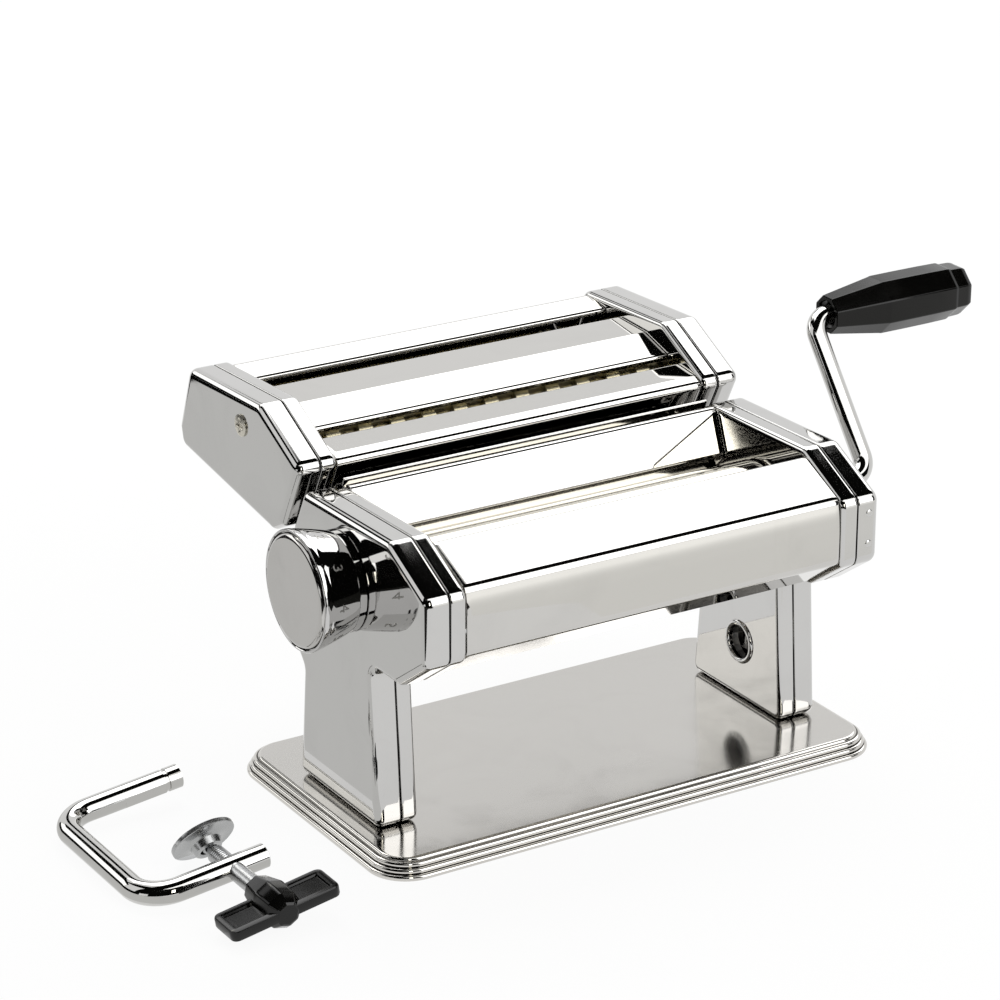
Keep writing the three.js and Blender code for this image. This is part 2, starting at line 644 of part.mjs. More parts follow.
function bearingBlocks() {
  const outline = turnedRectangle([0, 0], BLOCK_LENGTH, BLOCK_WIDTH, AXIS_TILT);
  const bore = () => hole([0, 0], JOURNAL_RADIUS + GAP, FRAME_IN - 1, CAM_OUT + 1);
  const plain = solid(prismX(outline, FRAME_IN, FRAME_OUT));
  piece('bearing_block_right', geometryOf(plain.subtract(bore())), metal(BRASS, 0.4), [0, ...REAR_AXIS]);

  // the left block carries the arm whose nose rides on the cam
  const touch = add2(KNOB_AXIS, SLIDE, CAM_LOW + CLOSING + GAP);
  const nose = [touch[0] - REAR_AXIS[0], touch[1] - REAR_AXIS[1]];
  const across = unit(AXIS_TILT + 90);
  const armOutline = [add2(nose, across, -3), add2([0, 0], across, -BLOCK_WIDTH / 2),
    add2(add2([0, 0], SLIDE, BLOCK_LENGTH / 2), across, -BLOCK_WIDTH / 2),
    add2(add2([0, 0], SLIDE, BLOCK_LENGTH / 2), across, BLOCK_WIDTH / 2),
    add2([0, 0], across, BLOCK_WIDTH / 2), add2(nose, across, 3)];
  const arm = solid(prismX(armOutline, CAM_IN, CAM_OUT));
  const bridge = solid(prismX(outline, FRAME_IN, CAM_IN + 0.5));
  const body = bridge.add(arm).subtract(bore());
  piece('bearing_block_left', mirrored(geometryOf(body)), metal(BRASS, 0.4), [0, ...REAR_AXIS]);
}

const RING_OUT = HALF_WIDTH + GAP + RING_THICK;
const KNOB_IN = RING_OUT + GAP;
const KNOB_OUT = KNOB_IN + KNOB_LENGTH;
const CAP_THICK = 1.6;
const KNOB_LIP = 1; // rim left round the cap
const HEAD_AT = KNOB_OUT - CAP_THICK - GAP - 2.4;
const SHOULDER_AT = KNOB_IN + 4;

function knobSpindle() {
  const shaft = [[CAM_IN - 0.5, 0], [CAM_IN - 0.5, SPINDLE_RADIUS], [HEAD_AT, SPINDLE_RADIUS],
    [HEAD_AT, SPRING_RADIUS + SPRING_WALL / 2], [HEAD_AT + 2, SPRING_RADIUS + SPRING_WALL / 2], [HEAD_AT + 2, 0]];
  const body = solid(turnedX(shaft, 20)).add(solid(prismX(camOutline(), CAM_IN, CAM_OUT)));
  piece('knob_spindle', mirrored(geometryOf(body)), metal(STEEL, 0.4), [0, ...KNOB_AXIS]);
}

function indexRing() {
  const inside = CAM_OUT + GAP;
  const profile = [[inside, SPINDLE_RADIUS + GAP], [inside, SPINDLE_RADIUS + 2.3],
    [HALF_WIDTH + GAP, SPINDLE_RADIUS + 2.3], [HALF_WIDTH + GAP, RING_RADIUS - 0.5],
    [HALF_WIDTH + GAP + 0.5, RING_RADIUS], [RING_OUT - 0.5, RING_RADIUS], [RING_OUT, RING_RADIUS - 0.5],
    [RING_OUT, SPINDLE_RADIUS + GAP], [inside, SPINDLE_RADIUS + GAP]];
  piece('index_ring', mirrored(turnedX(profile, 24)), metal(CHROME, 0.15), [0, ...KNOB_AXIS]);
}

function knob() {
  const waist = [];
  const steps = 4;
  const from = KNOB_IN + 2;
  const to = KNOB_OUT - 3.5;
  for (let i = 0; i <= steps; i += 1) {
    const share = i / steps;
    waist.push([from + (to - from) * share, KNOB_WAIST + (KNOB_RADIUS - 0.5 - KNOB_WAIST) * share ** 0.75]);
  }
  const pocket = SPRING_RADIUS + SPRING_WALL / 2 + 0.6;
  const profile = [[KNOB_IN, SPINDLE_RADIUS + GAP], [KNOB_IN, KNOB_WAIST], ...waist,
    [KNOB_OUT - 3, KNOB_RADIUS], [KNOB_OUT - 0.7, KNOB_RADIUS], [KNOB_OUT, KNOB_RADIUS - 0.5],
    [KNOB_OUT, KNOB_RADIUS - KNOB_LIP], [KNOB_OUT - CAP_THICK, KNOB_RADIUS - KNOB_LIP],
    [KNOB_OUT - CAP_THICK, pocket],
    [SHOULDER_AT, pocket], [SHOULDER_AT, SPINDLE_RADIUS + GAP], [KNOB_IN, SPINDLE_RADIUS + GAP]];
  piece('thickness_knob', mirrored(turnedX(profile, 28)), metal(CHROME, 0.1), [0, ...KNOB_AXIS]);

  const capRadius = KNOB_RADIUS - KNOB_LIP - GAP;
  const capProfile = [[KNOB_OUT - CAP_THICK + GAP, 0], [KNOB_OUT - CAP_THICK + GAP, capRadius],
    [KNOB_OUT - 0.5, capRadius], [KNOB_OUT - 0.5, 0]];
  piece('knob_cap', mirrored(turnedX(capProfile, 28)), metal(CHROME, 0.08), [0, ...KNOB_AXIS]);

  const springProfile = [[SHOULDER_AT + GAP, SPRING_RADIUS - SPRING_WALL / 2], [SHOULDER_AT + GAP,
    SPRING_RADIUS + SPRING_WALL / 2], [HEAD_AT - GAP, SPRING_RADIUS + SPRING_WALL / 2],
  [HEAD_AT - GAP, SPRING_RADIUS - SPRING_WALL / 2], [SHOULDER_AT + GAP, SPRING_RADIUS - SPRING_WALL / 2]];
  piece('knob_spring', mirrored(turnedX(springProfile, 20)), metal(STEEL, 0.35), [0, ...KNOB_AXIS]);
}

// ---------------------------------------------------------------- crank
/** A bent rod of a regular section along a path of corners with round bends. */
function bentRod(corners, bend, radius, sides, perBend = 5) {
  const path = new THREE.CurvePath();
  const points = corners.map((corner) => new THREE.Vector3(...corner));
  let from = points[0];
  const route = [from.clone()];
  for (let i = 1; i < points.length - 1; i += 1) {
    const arrive = points[i].clone().sub(from).normalize();
    const leave = points[i + 1].clone().sub(points[i]).normalize();
    const start = points[i].clone().sub(arrive.clone().multiplyScalar(bend));
    const end = points[i].clone().add(leave.clone().multiplyScalar(bend));
    const curve = new THREE.QuadraticBezierCurve3(start, points[i], end);
    curve.getPoints(perBend).forEach((point) => route.push(point));
    from = points[i];
  }
  route.push(points[points.length - 1].clone());
  for (let i = 1; i < route.length; i += 1) path.add(new THREE.LineCurve3(route[i - 1], route[i]));
  return sweep(route, radius, sides);
}

/** A round section carried along a list of points without twist, closed at both ends. */
function sweep(route, radius, sides) {
  const positions = [];
  const index = [];
  const tangent = (i) => route[Math.min(i + 1, route.length - 1)].clone()
    .sub(route[Math.max(i - 1, 0)]).normalize();
  let normal = new THREE.Vector3(0.3, 0.2, 1).cross(tangent(0)).normalize();
  route.forEach((point, i) => {
    const ahead = tangent(i);
    normal = normal.sub(ahead.clone().multiplyScalar(normal.dot(ahead))).normalize();
    const side = ahead.clone().cross(normal);
    for (let k = 0; k < sides; k += 1) {
      const angle = (2 * Math.PI * k) / sides;
      const offset = normal.clone().multiplyScalar(radius * Math.cos(angle))
        .add(side.clone().multiplyScalar(radius * Math.sin(angle)));
      positions.push(...point.clone().add(offset).toArray());
    }
  });
  for (let i = 0; i < route.length - 1; i += 1) {
    for (let k = 0; k < sides; k += 1) {
      const a = i * sides + k;
      const b = i * sides + ((k + 1) % sides);
      index.push(a, b, b + sides, a, b + sides, a + sides);
    }
  }
  const last = (route.length - 1) * sides;
  for (let k = 1; k < sides - 1; k += 1) {
    index.push(0, k + 1, k);
    index.push(last, last + k, last + k + 1);
  }
  const geometry = new THREE.BufferGeometry();
  geometry.setAttribute('position', new THREE.Float32BufferAttribute(positions, 3));
  geometry.setIndex(index);
  return geometry;
}

const THROW_END = polar([0, 0], CRANK_THROW, CRANK_LEAN);
const CRANK_TIP = GEAR_OUT + 1.2 - SOCKET_DEPTH + 2;

function crank() {
  const rodStart = HALF_WIDTH + 4;
  const rod = bentRod([[rodStart, 0, 0], [CRANK_OUT, 0, 0], [CRANK_OUT, ...THROW_END],
    [GRIP_START + GRIP_LENGTH - 8, ...THROW_END]], CRANK_BEND, CRANK_ROD, 14);
  const hex = barX([0, 0], (SOCKET_FLATS - 2 * GAP) / Math.sqrt(3), CRANK_TIP, rodStart + 0.5, 6);
  piece('crank_arm', geometryOf(solid(rod).add(solid(hex))), metal(CHROME, 0.12), [0, ...FRONT_AXIS]);

  const end = GRIP_START + GRIP_LENGTH;
  const grip = [[GRIP_START, 0], [GRIP_START, GRIP_NECK], [GRIP_START + 22, GRIP_BELLY - 0.25],
    [GRIP_START + 23, GRIP_BELLY], [end - 9, GRIP_BELLY - 0.15], [end - 7.5, GRIP_END],
    [end - 2.5, GRIP_END - 0.3], [end - 0.8, GRIP_END - 1.4], [end, GRIP_END - 3], [end, 0]];
  const bore = barX([0, 0], CRANK_ROD + GAP, GRIP_START - 1, end - 7);
  piece('crank_grip', geometryOf(solid(turnedX(grip, 8)).subtract(solid(bore))), plastic(BLACK, 0.3),
    [0, FRONT_AXIS[0] + THROW_END[0], FRONT_AXIS[1] + THROW_END[1]]);
}

// ---------------------------------------------------------------- cutter head
const cutter = new THREE.Group();
machine.add(cutter);

const CUT_HOUSING = [
  [35.2, 97.2], [43.4, 92.9], [111.8, 102.8], [113.6, 110.6], [104.6, 134.8], [51, 137.2], [22.2, 122.6],
];
const CUT_RADII = [3.2, 3.6, 4.5, 4.5, 5, 5.5, 3.6];
const CUT_OUTLINE = rounded(CUT_HOUSING, CUT_RADII);
const WIDE_REAR = add2(WIDE_AXIS, unit(WIDE_TILT), WIDE_SPREAD);
const FINE_REAR = add2(FINE_AXIS, [1, 0], FINE_SPREAD);
const CUT_JOURNAL = 4.4;
const CUT_SCREW = [64, 125.6];
const CUT_SCREW_RADIUS = 2.2;

function cutterInnerCover(name, isRight) {
  let body = pressedShellInward(CUT_OUTLINE, INNER_FACE, SEAM_AT, CUT_ROUND - 1, 1);
  for (const axis of [WIDE_AXIS, WIDE_REAR, FINE_AXIS, FINE_REAR]) {
    body = body.subtract(hole(axis, CUT_JOURNAL + GAP, INNER_FACE - 1, SEAM_AT, 16));
  }
  body = body.subtract(hole(CUT_SCREW, CUT_SCREW_RADIUS + GAP, INNER_FACE - 1, SEAM_AT, 12));
  const geometry = geometryOf(body);
  piece(name, isRight ? geometry : mirrored(geometry), metal(CHROME, 0.1), [0, 0, 0], cutter);
}

function cutterOuterCover(name, isRight) {
  let body = pressedShell(CUT_OUTLINE, SEAM_AT + SEAM_GAP, HALF_WIDTH, CUT_ROUND);
  const near = HALF_WIDTH - SHEET - 1;
  body = body.subtract(hole(CUT_SCREW, CUT_SCREW_RADIUS + GAP, near, HALF_WIDTH + 1, 12));
  if (isRight) {
    for (const axis of [WIDE_REAR, FINE_AXIS]) {
      body = body.subtract(hole(axis, CRANK_ROD + 0.8, near, HALF_WIDTH + 1));
    }
  }
  const geometry = geometryOf(body);
  piece(name, isRight ? geometry : mirrored(geometry), metal(CHROME, 0.1), [0, 0, 0], cutter);
}

function cutterScrew(name, isRight) {
  const start = INNER_FACE - 3;
  const profile = [[start, 0], [start, CUT_SCREW_RADIUS], [HALF_WIDTH + GAP, CUT_SCREW_RADIUS],
    [HALF_WIDTH + GAP, 4], [HALF_WIDTH + 0.7, 4], [HALF_WIDTH + 1.2, 2.8], [HALF_WIDTH + 1.2, 0]];
  const geometry = turnedX(profile, 16);
  piece(name, isRight ? geometry : mirrored(geometry), metal(BRASS, 0.3), [0, ...CUT_SCREW], cutter);
}

function cutterSheet(name, path) {
  const geometry = prismX(sheetOutline(path, CUT_COVER), -COVER_HALF, COVER_HALF);
  piece(name, geometry, metal(CHROME, 0.12), [0, 0, 0], cutter);
}

const CUT_FRONT_PATH = [[52, 95.9], [43.4, 94.4], [35.9, 98], [23.6, 121.4], [28, 123.6], SLOT_FRONT,
  [SLOT_FRONT[0] + 1.6, SLOT_FRONT[1] - 2]];
const CUT_MIDDLE_PATH = [[46.4, 123.6], [46.2, 126.2], [61.8, 130.6], [79.6, 131.4], [81.2, 130.2],
  [81.8, 127.6]];
const CUT_REAR_PATH = [[88.2, 129.6], [89, 133.2], [101.6, 133.4], [111.8, 110.8], [110.2, 104.2],
  [96, 102.1]];
const DRIP_PATH = [[76, 99.2], [64, 97.4]];

function cutterCovers() {
  cutterSheet('cutter_front_cover', bent(CUT_FRONT_PATH, 1.6));
  cutterSheet('cutter_middle_cover', bent(CUT_MIDDLE_PATH, 1.4));
  cutterSheet('cutter_rear_cover', bent(CUT_REAR_PATH, 2.2));
  cutterSheet('cutter_drip_tray', bent(DRIP_PATH, 0.5));
}

/** A cutter shaft whose discs alternate with grooves; the shift sets where the first disc starts. */
function grooved(shift) {
  const profile = [[-FRAME_IN, 0], [-FRAME_IN, CUT_JOURNAL], [-ROLLER_HALF, CUT_JOURNAL],
    [-ROLLER_HALF, WIDE_ROOT]];
  const play = 0.25;
  const pitch = 2 * RIBBON;
  for (let x = -ROLLER_HALF + 1.5 + shift; x + RIBBON < ROLLER_HALF - 1; x += pitch) {
    profile.push([x + play, WIDE_ROOT], [x + play, WIDE_TIP]);
    profile.push([x + RIBBON - play, WIDE_TIP], [x + RIBBON - play, WIDE_ROOT]);
  }
  profile.push([ROLLER_HALF, WIDE_ROOT], [ROLLER_HALF, CUT_JOURNAL], [GEAR_OUT, CUT_JOURNAL], [GEAR_OUT, 0]);
  return profile;
}

function cutterShafts() {
  const socket = () => solid(barX([0, 0], SOCKET_FLATS / Math.sqrt(3), GEAR_OUT - 17, GEAR_OUT + 1, 6));
  piece('wide_cutter_front', turnedX(grooved(0), 10), metal(STEEL, 0.25), [0, ...WIDE_AXIS], cutter);
  const rear = solid(turnedX(grooved(RIBBON), 10)).subtract(socket());
  piece('wide_cutter_rear', geometryOf(rear), metal(STEEL, 0.25), [0, ...WIDE_REAR], cutter);

  const radius = FINE_SPREAD / 2 - 0.2;
  const plain = [[-FRAME_IN, 0], [-FRAME_IN, CUT_JOURNAL], [-ROLLER_HALF, CUT_JOURNAL],
    [-ROLLER_HALF, radius], [ROLLER_HALF, radius], [ROLLER_HALF, CUT_JOURNAL], [GEAR_OUT, CUT_JOURNAL],
    [GEAR_OUT, 0]];
  const front = solid(turnedX(plain, 20)).subtract(socket());
  piece('fine_cutter_front', geometryOf(front), metal(STEEL, 0.25), [0, ...FINE_AXIS], cutter);
  piece('fine_cutter_rear', turnedX(plain, 20), metal(STEEL, 0.25), [0, ...FINE_REAR], cutter);
}

function cutterGear(name, axis, spread, phase) {
  const tip = spread / 2 + 1;
  const root = spread / 2 - 1.5;
  const outline = gearOutline(CUTTER_GEAR_TEETH, tip, root, phase, 0.2, 0.55);
  const body = solid(prismX(outline, GEAR_IN - 1.2, GEAR_OUT - 2))
    .subtract(hole([0, 0], CUT_JOURNAL + GAP, GEAR_IN - 2, GEAR_OUT, 16));
  piece(name, geometryOf(body), metal(STEEL, 0.4), [0, ...axis], cutter);
}

function cutterGears() {
  const half = 180 / CUTTER_GEAR_TEETH;
  cutterGear('wide_gear_front', WIDE_AXIS, WIDE_SPREAD, WIDE_TILT);
  cutterGear('wide_gear_rear', WIDE_REAR, WIDE_SPREAD, WIDE_TILT + 180 + half);
  cutterGear('fine_gear_front', FINE_AXIS, FINE_SPREAD, 0);
  cutterGear('fine_gear_rear', FINE_REAR, FINE_SPREAD, 180 + half);
}

const WIDE_COMB_FOOT = [46.5, 97.2];
const FINE_COMB_FOOT = [94, 104.2];

/** A stripper strip that stands just clear of a cutter shaft, below it. */
function comb(name, axis, radius, degrees, foot) {
  const edge = polar(axis, radius + GAP, degrees);
  const path = foot[0] > edge[0] ? [edge, foot] : [foot, edge];
  piece(name, prismX(sheetOutline(path, 0.8), -COVER_HALF, COVER_HALF), metal(STEEL, 0.4), [0, 0, 0], cutter);
}

// ---------------------------------------------------------------- clamp
const clamp = new THREE.Group();
clamp.position.set(CLAMP_AT[0], CLAMP_AT[1], CLAMP_ROD);
clamp.rotation.set(0, THREE.MathUtils.degToRad(-CLAMP_LEAN), THREE.MathUtils.degToRad(CLAMP_TURN), 'ZYX');
machine.add(clamp);

function clampBar() {
  const rod = bentRod([[CLAMP_UPPER, CLAMP_BACK, 0], [0, CLAMP_BACK, 0], [0, 0, 0], [CLAMP_LOWER, 0, 0]],
    CLAMP_BEND, CLAMP_ROD, 14, 6);
  const tapped = new THREE.CylinderGeometry(SCREW_RADIUS + GAP, SCREW_RADIUS + GAP, 30, 14)
    .translate(SCREW_AT, 0, 0);
  piece('clamp_bar', geometryOf(solid(rod).subtract(solid(tapped))), metal(CHROME, 0.12), [0, 0, 0], clamp);
}

/** A turned piece about the screw's axis, from [distance along it, radius] points. */
function turnedAlongScrew(profile, sides) {
  return turnedX(profile, sides).rotateZ(Math.PI / 2);
}

const screwGroup = new THREE.Group();
screwGroup.position.set(SCREW_AT, 0, 0);
screwGroup.rotation.y = THREE.MathUtils.degToRad(-WING_TURN);
clamp.add(screwGroup);
const SCREW_END = -KNOB_BACK - WING_HUB + 5;

function clampScrew() {
  const neck = BALL_OUT - 6;
  const profile = [[SCREW_END, 0], [SCREW_END, SCREW_RADIUS], [neck - 0.5, SCREW_RADIUS], [neck, 1.7],
    [BALL_OUT - 1.8, 1.7], [BALL_OUT - 1.1, BALL_RADIUS - 0.3], [BALL_OUT, BALL_RADIUS],
    [BALL_OUT + 1.3, BALL_RADIUS - 0.4], [BALL_OUT + BALL_RADIUS, 0]];
  piece('clamp_screw', turnedAlongScrew(profile, 14), metal(ZINC, 0.35), [0, 0, 0], screwGroup);
}

function clampPad() {
  const face = BALL_RADIUS + GAP + 0.2;
  const profile = [[-1.5, 3.5], [-1.5, 4.8], [face - 0.6, 6.2], [face - 0.6, PAD_RADIUS],
    [face - 0.6 + PAD_THICK, PAD_RADIUS], [face - 0.6 + PAD_THICK, 0], [face, 0], [face, 3.1], [-1.5, 3.5]];
  const pad = piece('clamp_pad', turnedAlongScrew(profile, 24), metal(ZINC, 0.45), [SCREW_AT, BALL_OUT, 0], clamp);
  pad.rotation.x = THREE.MathUtils.degToRad(PAD_TILT);
}

function wingKnob() {
  const near = -KNOB_BACK;
  const far = near - WING_HUB;
  const hub = solid(turnedAlongScrew([[far, 0], [far, 4.4], [far + 3, 6.4], [far + 12, 7.4], [near, 5.2],
    [near, 0]], 8));
  const half = WING_SPAN / 2;
  const wings = [[-half, far + 2], [-half + 2, far], [half - 2, far], [half, far + 2], [half, near - 8],
    [half - 2, near - 6], [-half + 2, near - 6], [-half, near - 8]];
  const flat = new THREE.ExtrudeGeometry(asShape(wings), { depth: WING_THICK, bevelEnabled: false });
  const bore = solid(turnedAlongScrew([[SCREW_END - GAP, 0], [SCREW_END - GAP, SCREW_RADIUS + GAP],
    [near + 1, SCREW_RADIUS + GAP], [near + 1, 0]], 14));
  const body = hub.add(solid(flat.translate(0, 0, -WING_THICK / 2))).subtract(bore);
  piece('wing_knob', geometryOf(body), plastic(BLACK, 0.35), [0, 0, 0], screwGroup);
}

// ---------------------------------------------------------------- assembly
baseTop();
basePlate();
legScrews();
for (const [side, isRight] of [['left', false], ['right', true]]) {
  outerCover(`${side}_outer_cover`, isRight);
  innerCover(`${side}_inner_cover`, isRight);
  framePlate(`${side}_frame`, isRight);
  cutterOuterCover(`cutter_${side}_outer_cover`, isRight);
  cutterInnerCover(`cutter_${side}_inner_cover`, isRight);
  cutterScrew(`cutter_screw_${side}`, isRight);
}
tieRods();
frontCover();
rearCover();
feedPlate();
cutterRail();
scraper('front_scraper', FRONT_AXIS, -105, FRONT_WIPER_FOOT);
scraper('rear_scraper', REAR_AXIS, -80, REAR_WIPER_FOOT);
frontRoller();
rearRoller();
rollerGear('front_gear', FRONT_AXIS, AXIS_TILT);
rollerGear('rear_gear', REAR_AXIS, AXIS_TILT + 180 + 180 / GEAR_TEETH);
frontBushes();
bearingBlocks();
knobSpindle();
indexRing();
knob();
crank();
cutterCovers();
cutterShafts();
cutterGears();
comb('wide_comb', WIDE_AXIS, WIDE_TIP, -100, WIDE_COMB_FOOT);
comb('fine_comb', FINE_REAR, FINE_SPREAD / 2, -80, FINE_COMB_FOOT);
clampBar();
clampScrew();
clampPad();
wingKnob();

export default machine;
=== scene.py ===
"""Looks of a chrome pasta roller machine with a lift-off cutter head and a loose table clamp.

Lengths are millimetres and become metres when a mesh is made; only the studio is written in metres.
X runs along the rollers, -Y points to the user, Z is up. Side outlines are lists of (y, z).
"""
import json

import bpy
import numpy as np
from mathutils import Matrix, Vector
from mathutils.geometry import tessellate_polygon


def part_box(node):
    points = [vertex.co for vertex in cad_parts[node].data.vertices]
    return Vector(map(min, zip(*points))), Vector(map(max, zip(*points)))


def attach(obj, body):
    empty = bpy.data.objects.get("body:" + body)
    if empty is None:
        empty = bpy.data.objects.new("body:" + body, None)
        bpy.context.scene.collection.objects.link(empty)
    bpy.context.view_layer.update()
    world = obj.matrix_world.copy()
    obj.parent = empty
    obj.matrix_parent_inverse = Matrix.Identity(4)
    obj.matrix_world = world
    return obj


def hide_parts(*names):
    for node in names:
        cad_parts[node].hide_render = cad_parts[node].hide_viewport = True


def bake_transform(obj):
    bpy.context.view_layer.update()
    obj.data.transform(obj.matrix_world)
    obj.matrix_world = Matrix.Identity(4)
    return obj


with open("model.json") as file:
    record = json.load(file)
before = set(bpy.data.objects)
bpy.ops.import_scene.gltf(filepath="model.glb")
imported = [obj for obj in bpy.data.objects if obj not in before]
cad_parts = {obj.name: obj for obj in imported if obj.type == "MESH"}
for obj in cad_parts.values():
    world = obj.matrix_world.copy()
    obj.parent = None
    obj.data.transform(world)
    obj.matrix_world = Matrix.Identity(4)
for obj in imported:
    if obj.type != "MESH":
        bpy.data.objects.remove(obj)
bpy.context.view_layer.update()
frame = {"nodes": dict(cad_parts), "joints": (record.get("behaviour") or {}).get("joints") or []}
NODES = frame["nodes"]
JOINT_AT = {joint["name"]: np.array(joint.get("pos_m", (0, 0, 0))) * 1000 for joint in frame["joints"]}
MM = 0.001
ENDS = ((-1, "left"), (1, "right"))


def face_of(node, side, axis=0):
    """The low (0) or high (1) face of a CAD node along an axis, in millimetres."""
    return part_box(node)[side][axis] / MM


# ---- sizes taken from the frame
OUTER_FACE = face_of("right_outer_cover", 1)
SEAM_OUTSIDE = face_of("right_outer_cover", 0)
SEAM_INSIDE = face_of("right_inner_cover", 1)
INNER_FACE = face_of("cutter_right_inner_cover", 0)
COVER_HALF = face_of("front_cover", 1)
FRONT_AXIS = JOINT_AT["crank_turn"][1:]
REAR_AXIS = JOINT_AT["rear_roller_spin"][1:]
KNOB_AXIS = JOINT_AT["knob_turn"][1:]
GRIP_AXIS = JOINT_AT["grip_spin"][1:]
WIDE_REAR = JOINT_AT["wide_cutter_spin"][1:]
WIDE_FRONT = JOINT_AT["wide_follower_spin"][1:]
FINE_FRONT = JOINT_AT["fine_cutter_spin"][1:]
FINE_REAR = JOINT_AT["fine_follower_spin"][1:]

# ---- sizes of pressed sheet and its holes
SHEET = 1.2
COVER_SHEET = 1.0
OUTER_EDGE, INNER_EDGE = 3.0, 2.0
CLAMP_HOLE, CLAMP_HOLE_RADIUS = (-3.3, 29.7), 6.3
TIE_ROD = (-48, 81)
CUT_SCREW, CUT_SCREW_RADIUS = (64, 125.6), 4.0
SOCKET_FLAT, CRANK_FLAT = 2.8, 2.5

HOUSING = [(-30, 7.3), (26.5, 7.3), (22.6, 49), (41.5, 71), (41.5, 91), (31.8, 93), (20.2, 115.4),
           (-38.8, 117), (-63.2, 104.6), (-63.2, 80.5), (-44, 67), (-26, 67)]
HOUSING_RADII = [3.4, 3.4, 4, 4, 3.2, 2, 3.4, 5, 4.5, 4.5, 4, 4]
CUT_HOUSING = [(35.2, 97.2), (43.4, 92.9), (111.8, 102.8), (113.6, 110.6), (104.6, 134.8), (51, 137.2),
               (22.2, 122.6)]
CUT_RADII = [3.2, 3.6, 4.5, 4.5, 5, 5.5, 3.6]


# ---- outlines and profiles
def unit(vectors):
    """Each vector divided by its own length."""
    return vectors / np.maximum(np.linalg.norm(vectors, axis=-1, keepdims=True), 1e-12)


def signed_area(corners):
    """Twice the area inside a polygon, negative where its corners run clockwise."""
    following = np.roll(corners, -1, 0)
    return np.sum(corners[:, 0] * following[:, 1] - following[:, 0] * corners[:, 1])


def edge_sides(arrive, leave, side):
    """Each corner's two edge normals on one side, their mitre, and how far the corner turns."""
    first, last = (side * np.stack([-edge[:, 1], edge[:, 0]], 1) for edge in (arrive, leave))
    mitre = (first + last) / (1 + np.sum(first * last, 1, keepdims=True))
    return first, last, mitre, arrive[:, 0] * leave[:, 1] - arrive[:, 1] * leave[:, 0]


def swung(first, last, angle, steps):
    """Directions that swing evenly from the first to the last, which stand an angle apart."""
    share = np.linspace(0, 1, steps + 1)[:, None]
    arc = (np.sin((1 - share) * angle) * first + np.sin(share * angle) * last) / np.maximum(np.sin(angle), 1e-6)
    return np.where(angle > 1e-4, arc, (1 - share) * first + share * last)


def outline(corners, radii, inset=0.0, steps=8, hold=0.4):
    """A closed corner polygon moved inwards by a distance, each corner turned into an arc.

    The inward normal swings evenly from the arriving edge's to the leaving edge's, and the arc point is the
    arc's centre minus the radius times that normal. One extra point before and after each arc keeps the
    flats flat."""
    corner = np.array(corners, float)
    arrive = unit(corner - np.roll(corner, 1, 0))
    leave = unit(np.roll(corner, -1, 0) - corner)
    side = np.sign(signed_area(corner))
    first, last, mitre, turn = edge_sides(arrive, leave, side)
    bulge = np.where(turn * side >= 0, 1.0, -1.0)[:, None]
    radius = np.broadcast_to(np.array(radii, float), (len(corner),))[:, None]
    radius = np.maximum(radius - bulge * inset, 0.02)
    centre = corner + mitre * (inset + bulge * radius)
    angle = np.arccos(np.clip(np.sum(first * last, 1), -1, 1))[:, None, None]
    arc = centre[:, None] - (bulge * radius)[:, None] * unit(swung(first[:, None], last[:, None], angle, steps))
    before = arc[:, :1] - hold * arrive[:, None]
    after = arc[:, -1:] + hold * leave[:, None]
    return np.concatenate([before, arc, after], 1).reshape(-1, 2)


def sweep_of(count):
    """Even angles once round."""
    return np.linspace(0, 2 * np.pi, count, endpoint=False)


def ring_of(centre, radius, count=48):
    """A circle in the side view: centre plus cosine and sine of an even sweep times the radius.

    A radius for each angle gives other closed shapes."""
    sweep = sweep_of(count)
    return np.array(centre, float) + np.stack([np.cos(sweep), np.sin(sweep)], 1) * np.reshape(radius, (-1, 1))


def at_x(x, ring):
    """A side outline set at one X."""
    return np.column_stack([np.full(len(ring), x), ring])


def at_z(z, ring):
    """A flat outline set at one height."""
    return np.column_stack([ring, np.full(len(ring), z)])


def quarter(radius, count=7):
    """Pairs of (run, drop) along a quarter circle: radius times sine, radius times one minus cosine."""
    sweep = np.linspace(0, np.pi / 2, count)
    return radius * np.sin(sweep), radius * (1 - np.cos(sweep))


def hexagon_reach(sweep):
    """How far a hexagon of unit flats reaches at each angle: one over the cosine to the nearest flat."""
    fold = (sweep + np.pi / 6) % (np.pi / 3) - np.pi / 6
    return 1 / np.cos(fold)


def sheet_outline(path, thick, bend):
    """An open path of a thin sheet as a closed outline, and the radius of each of its corners.

    The back is the path moved to its right by the thickness along the mitre of its two edges. A bend's outer
    corner is rounded by the bend radius plus the thickness, and its inner corner by the bend radius."""
    at = np.array(path, float)
    step = unit(np.diff(at, axis=0))
    _, _, mitre, turn = edge_sides(np.vstack([step[:1], step]), np.vstack([step, step[-1:]]), -1)
    back = at + thick * mitre
    bend = np.broadcast_to(np.array(bend, float), turn.shape)
    front_radius = np.where(turn > 0, bend, bend + thick)
    back_radius = np.where(turn > 0, bend + thick, bend)
    front_radius[[0, -1]] = back_radius[[0, -1]] = 0.3 * thick
    return np.vstack([at, back[::-1]]), np.concatenate([front_radius, back_radius[::-1]])


# ---- meshes
def cap_triangles(points, ring):
    """A closed ring of points filled with triangles that face the way the ring turns."""
    at = points[ring]
    facing = np.cross(at, np.roll(at, -1, 0)).sum(0)
    triangles = np.array(tessellate_polygon([[Vector(p) for p in at]]))
    corner = at[triangles]
    back = np.cross(corner[:, 1] - corner[:, 0], corner[:, 2] - corner[:, 0]) @ facing < 0
    return ring[np.where(back[:, None], triangles[:, ::-1], triangles)]


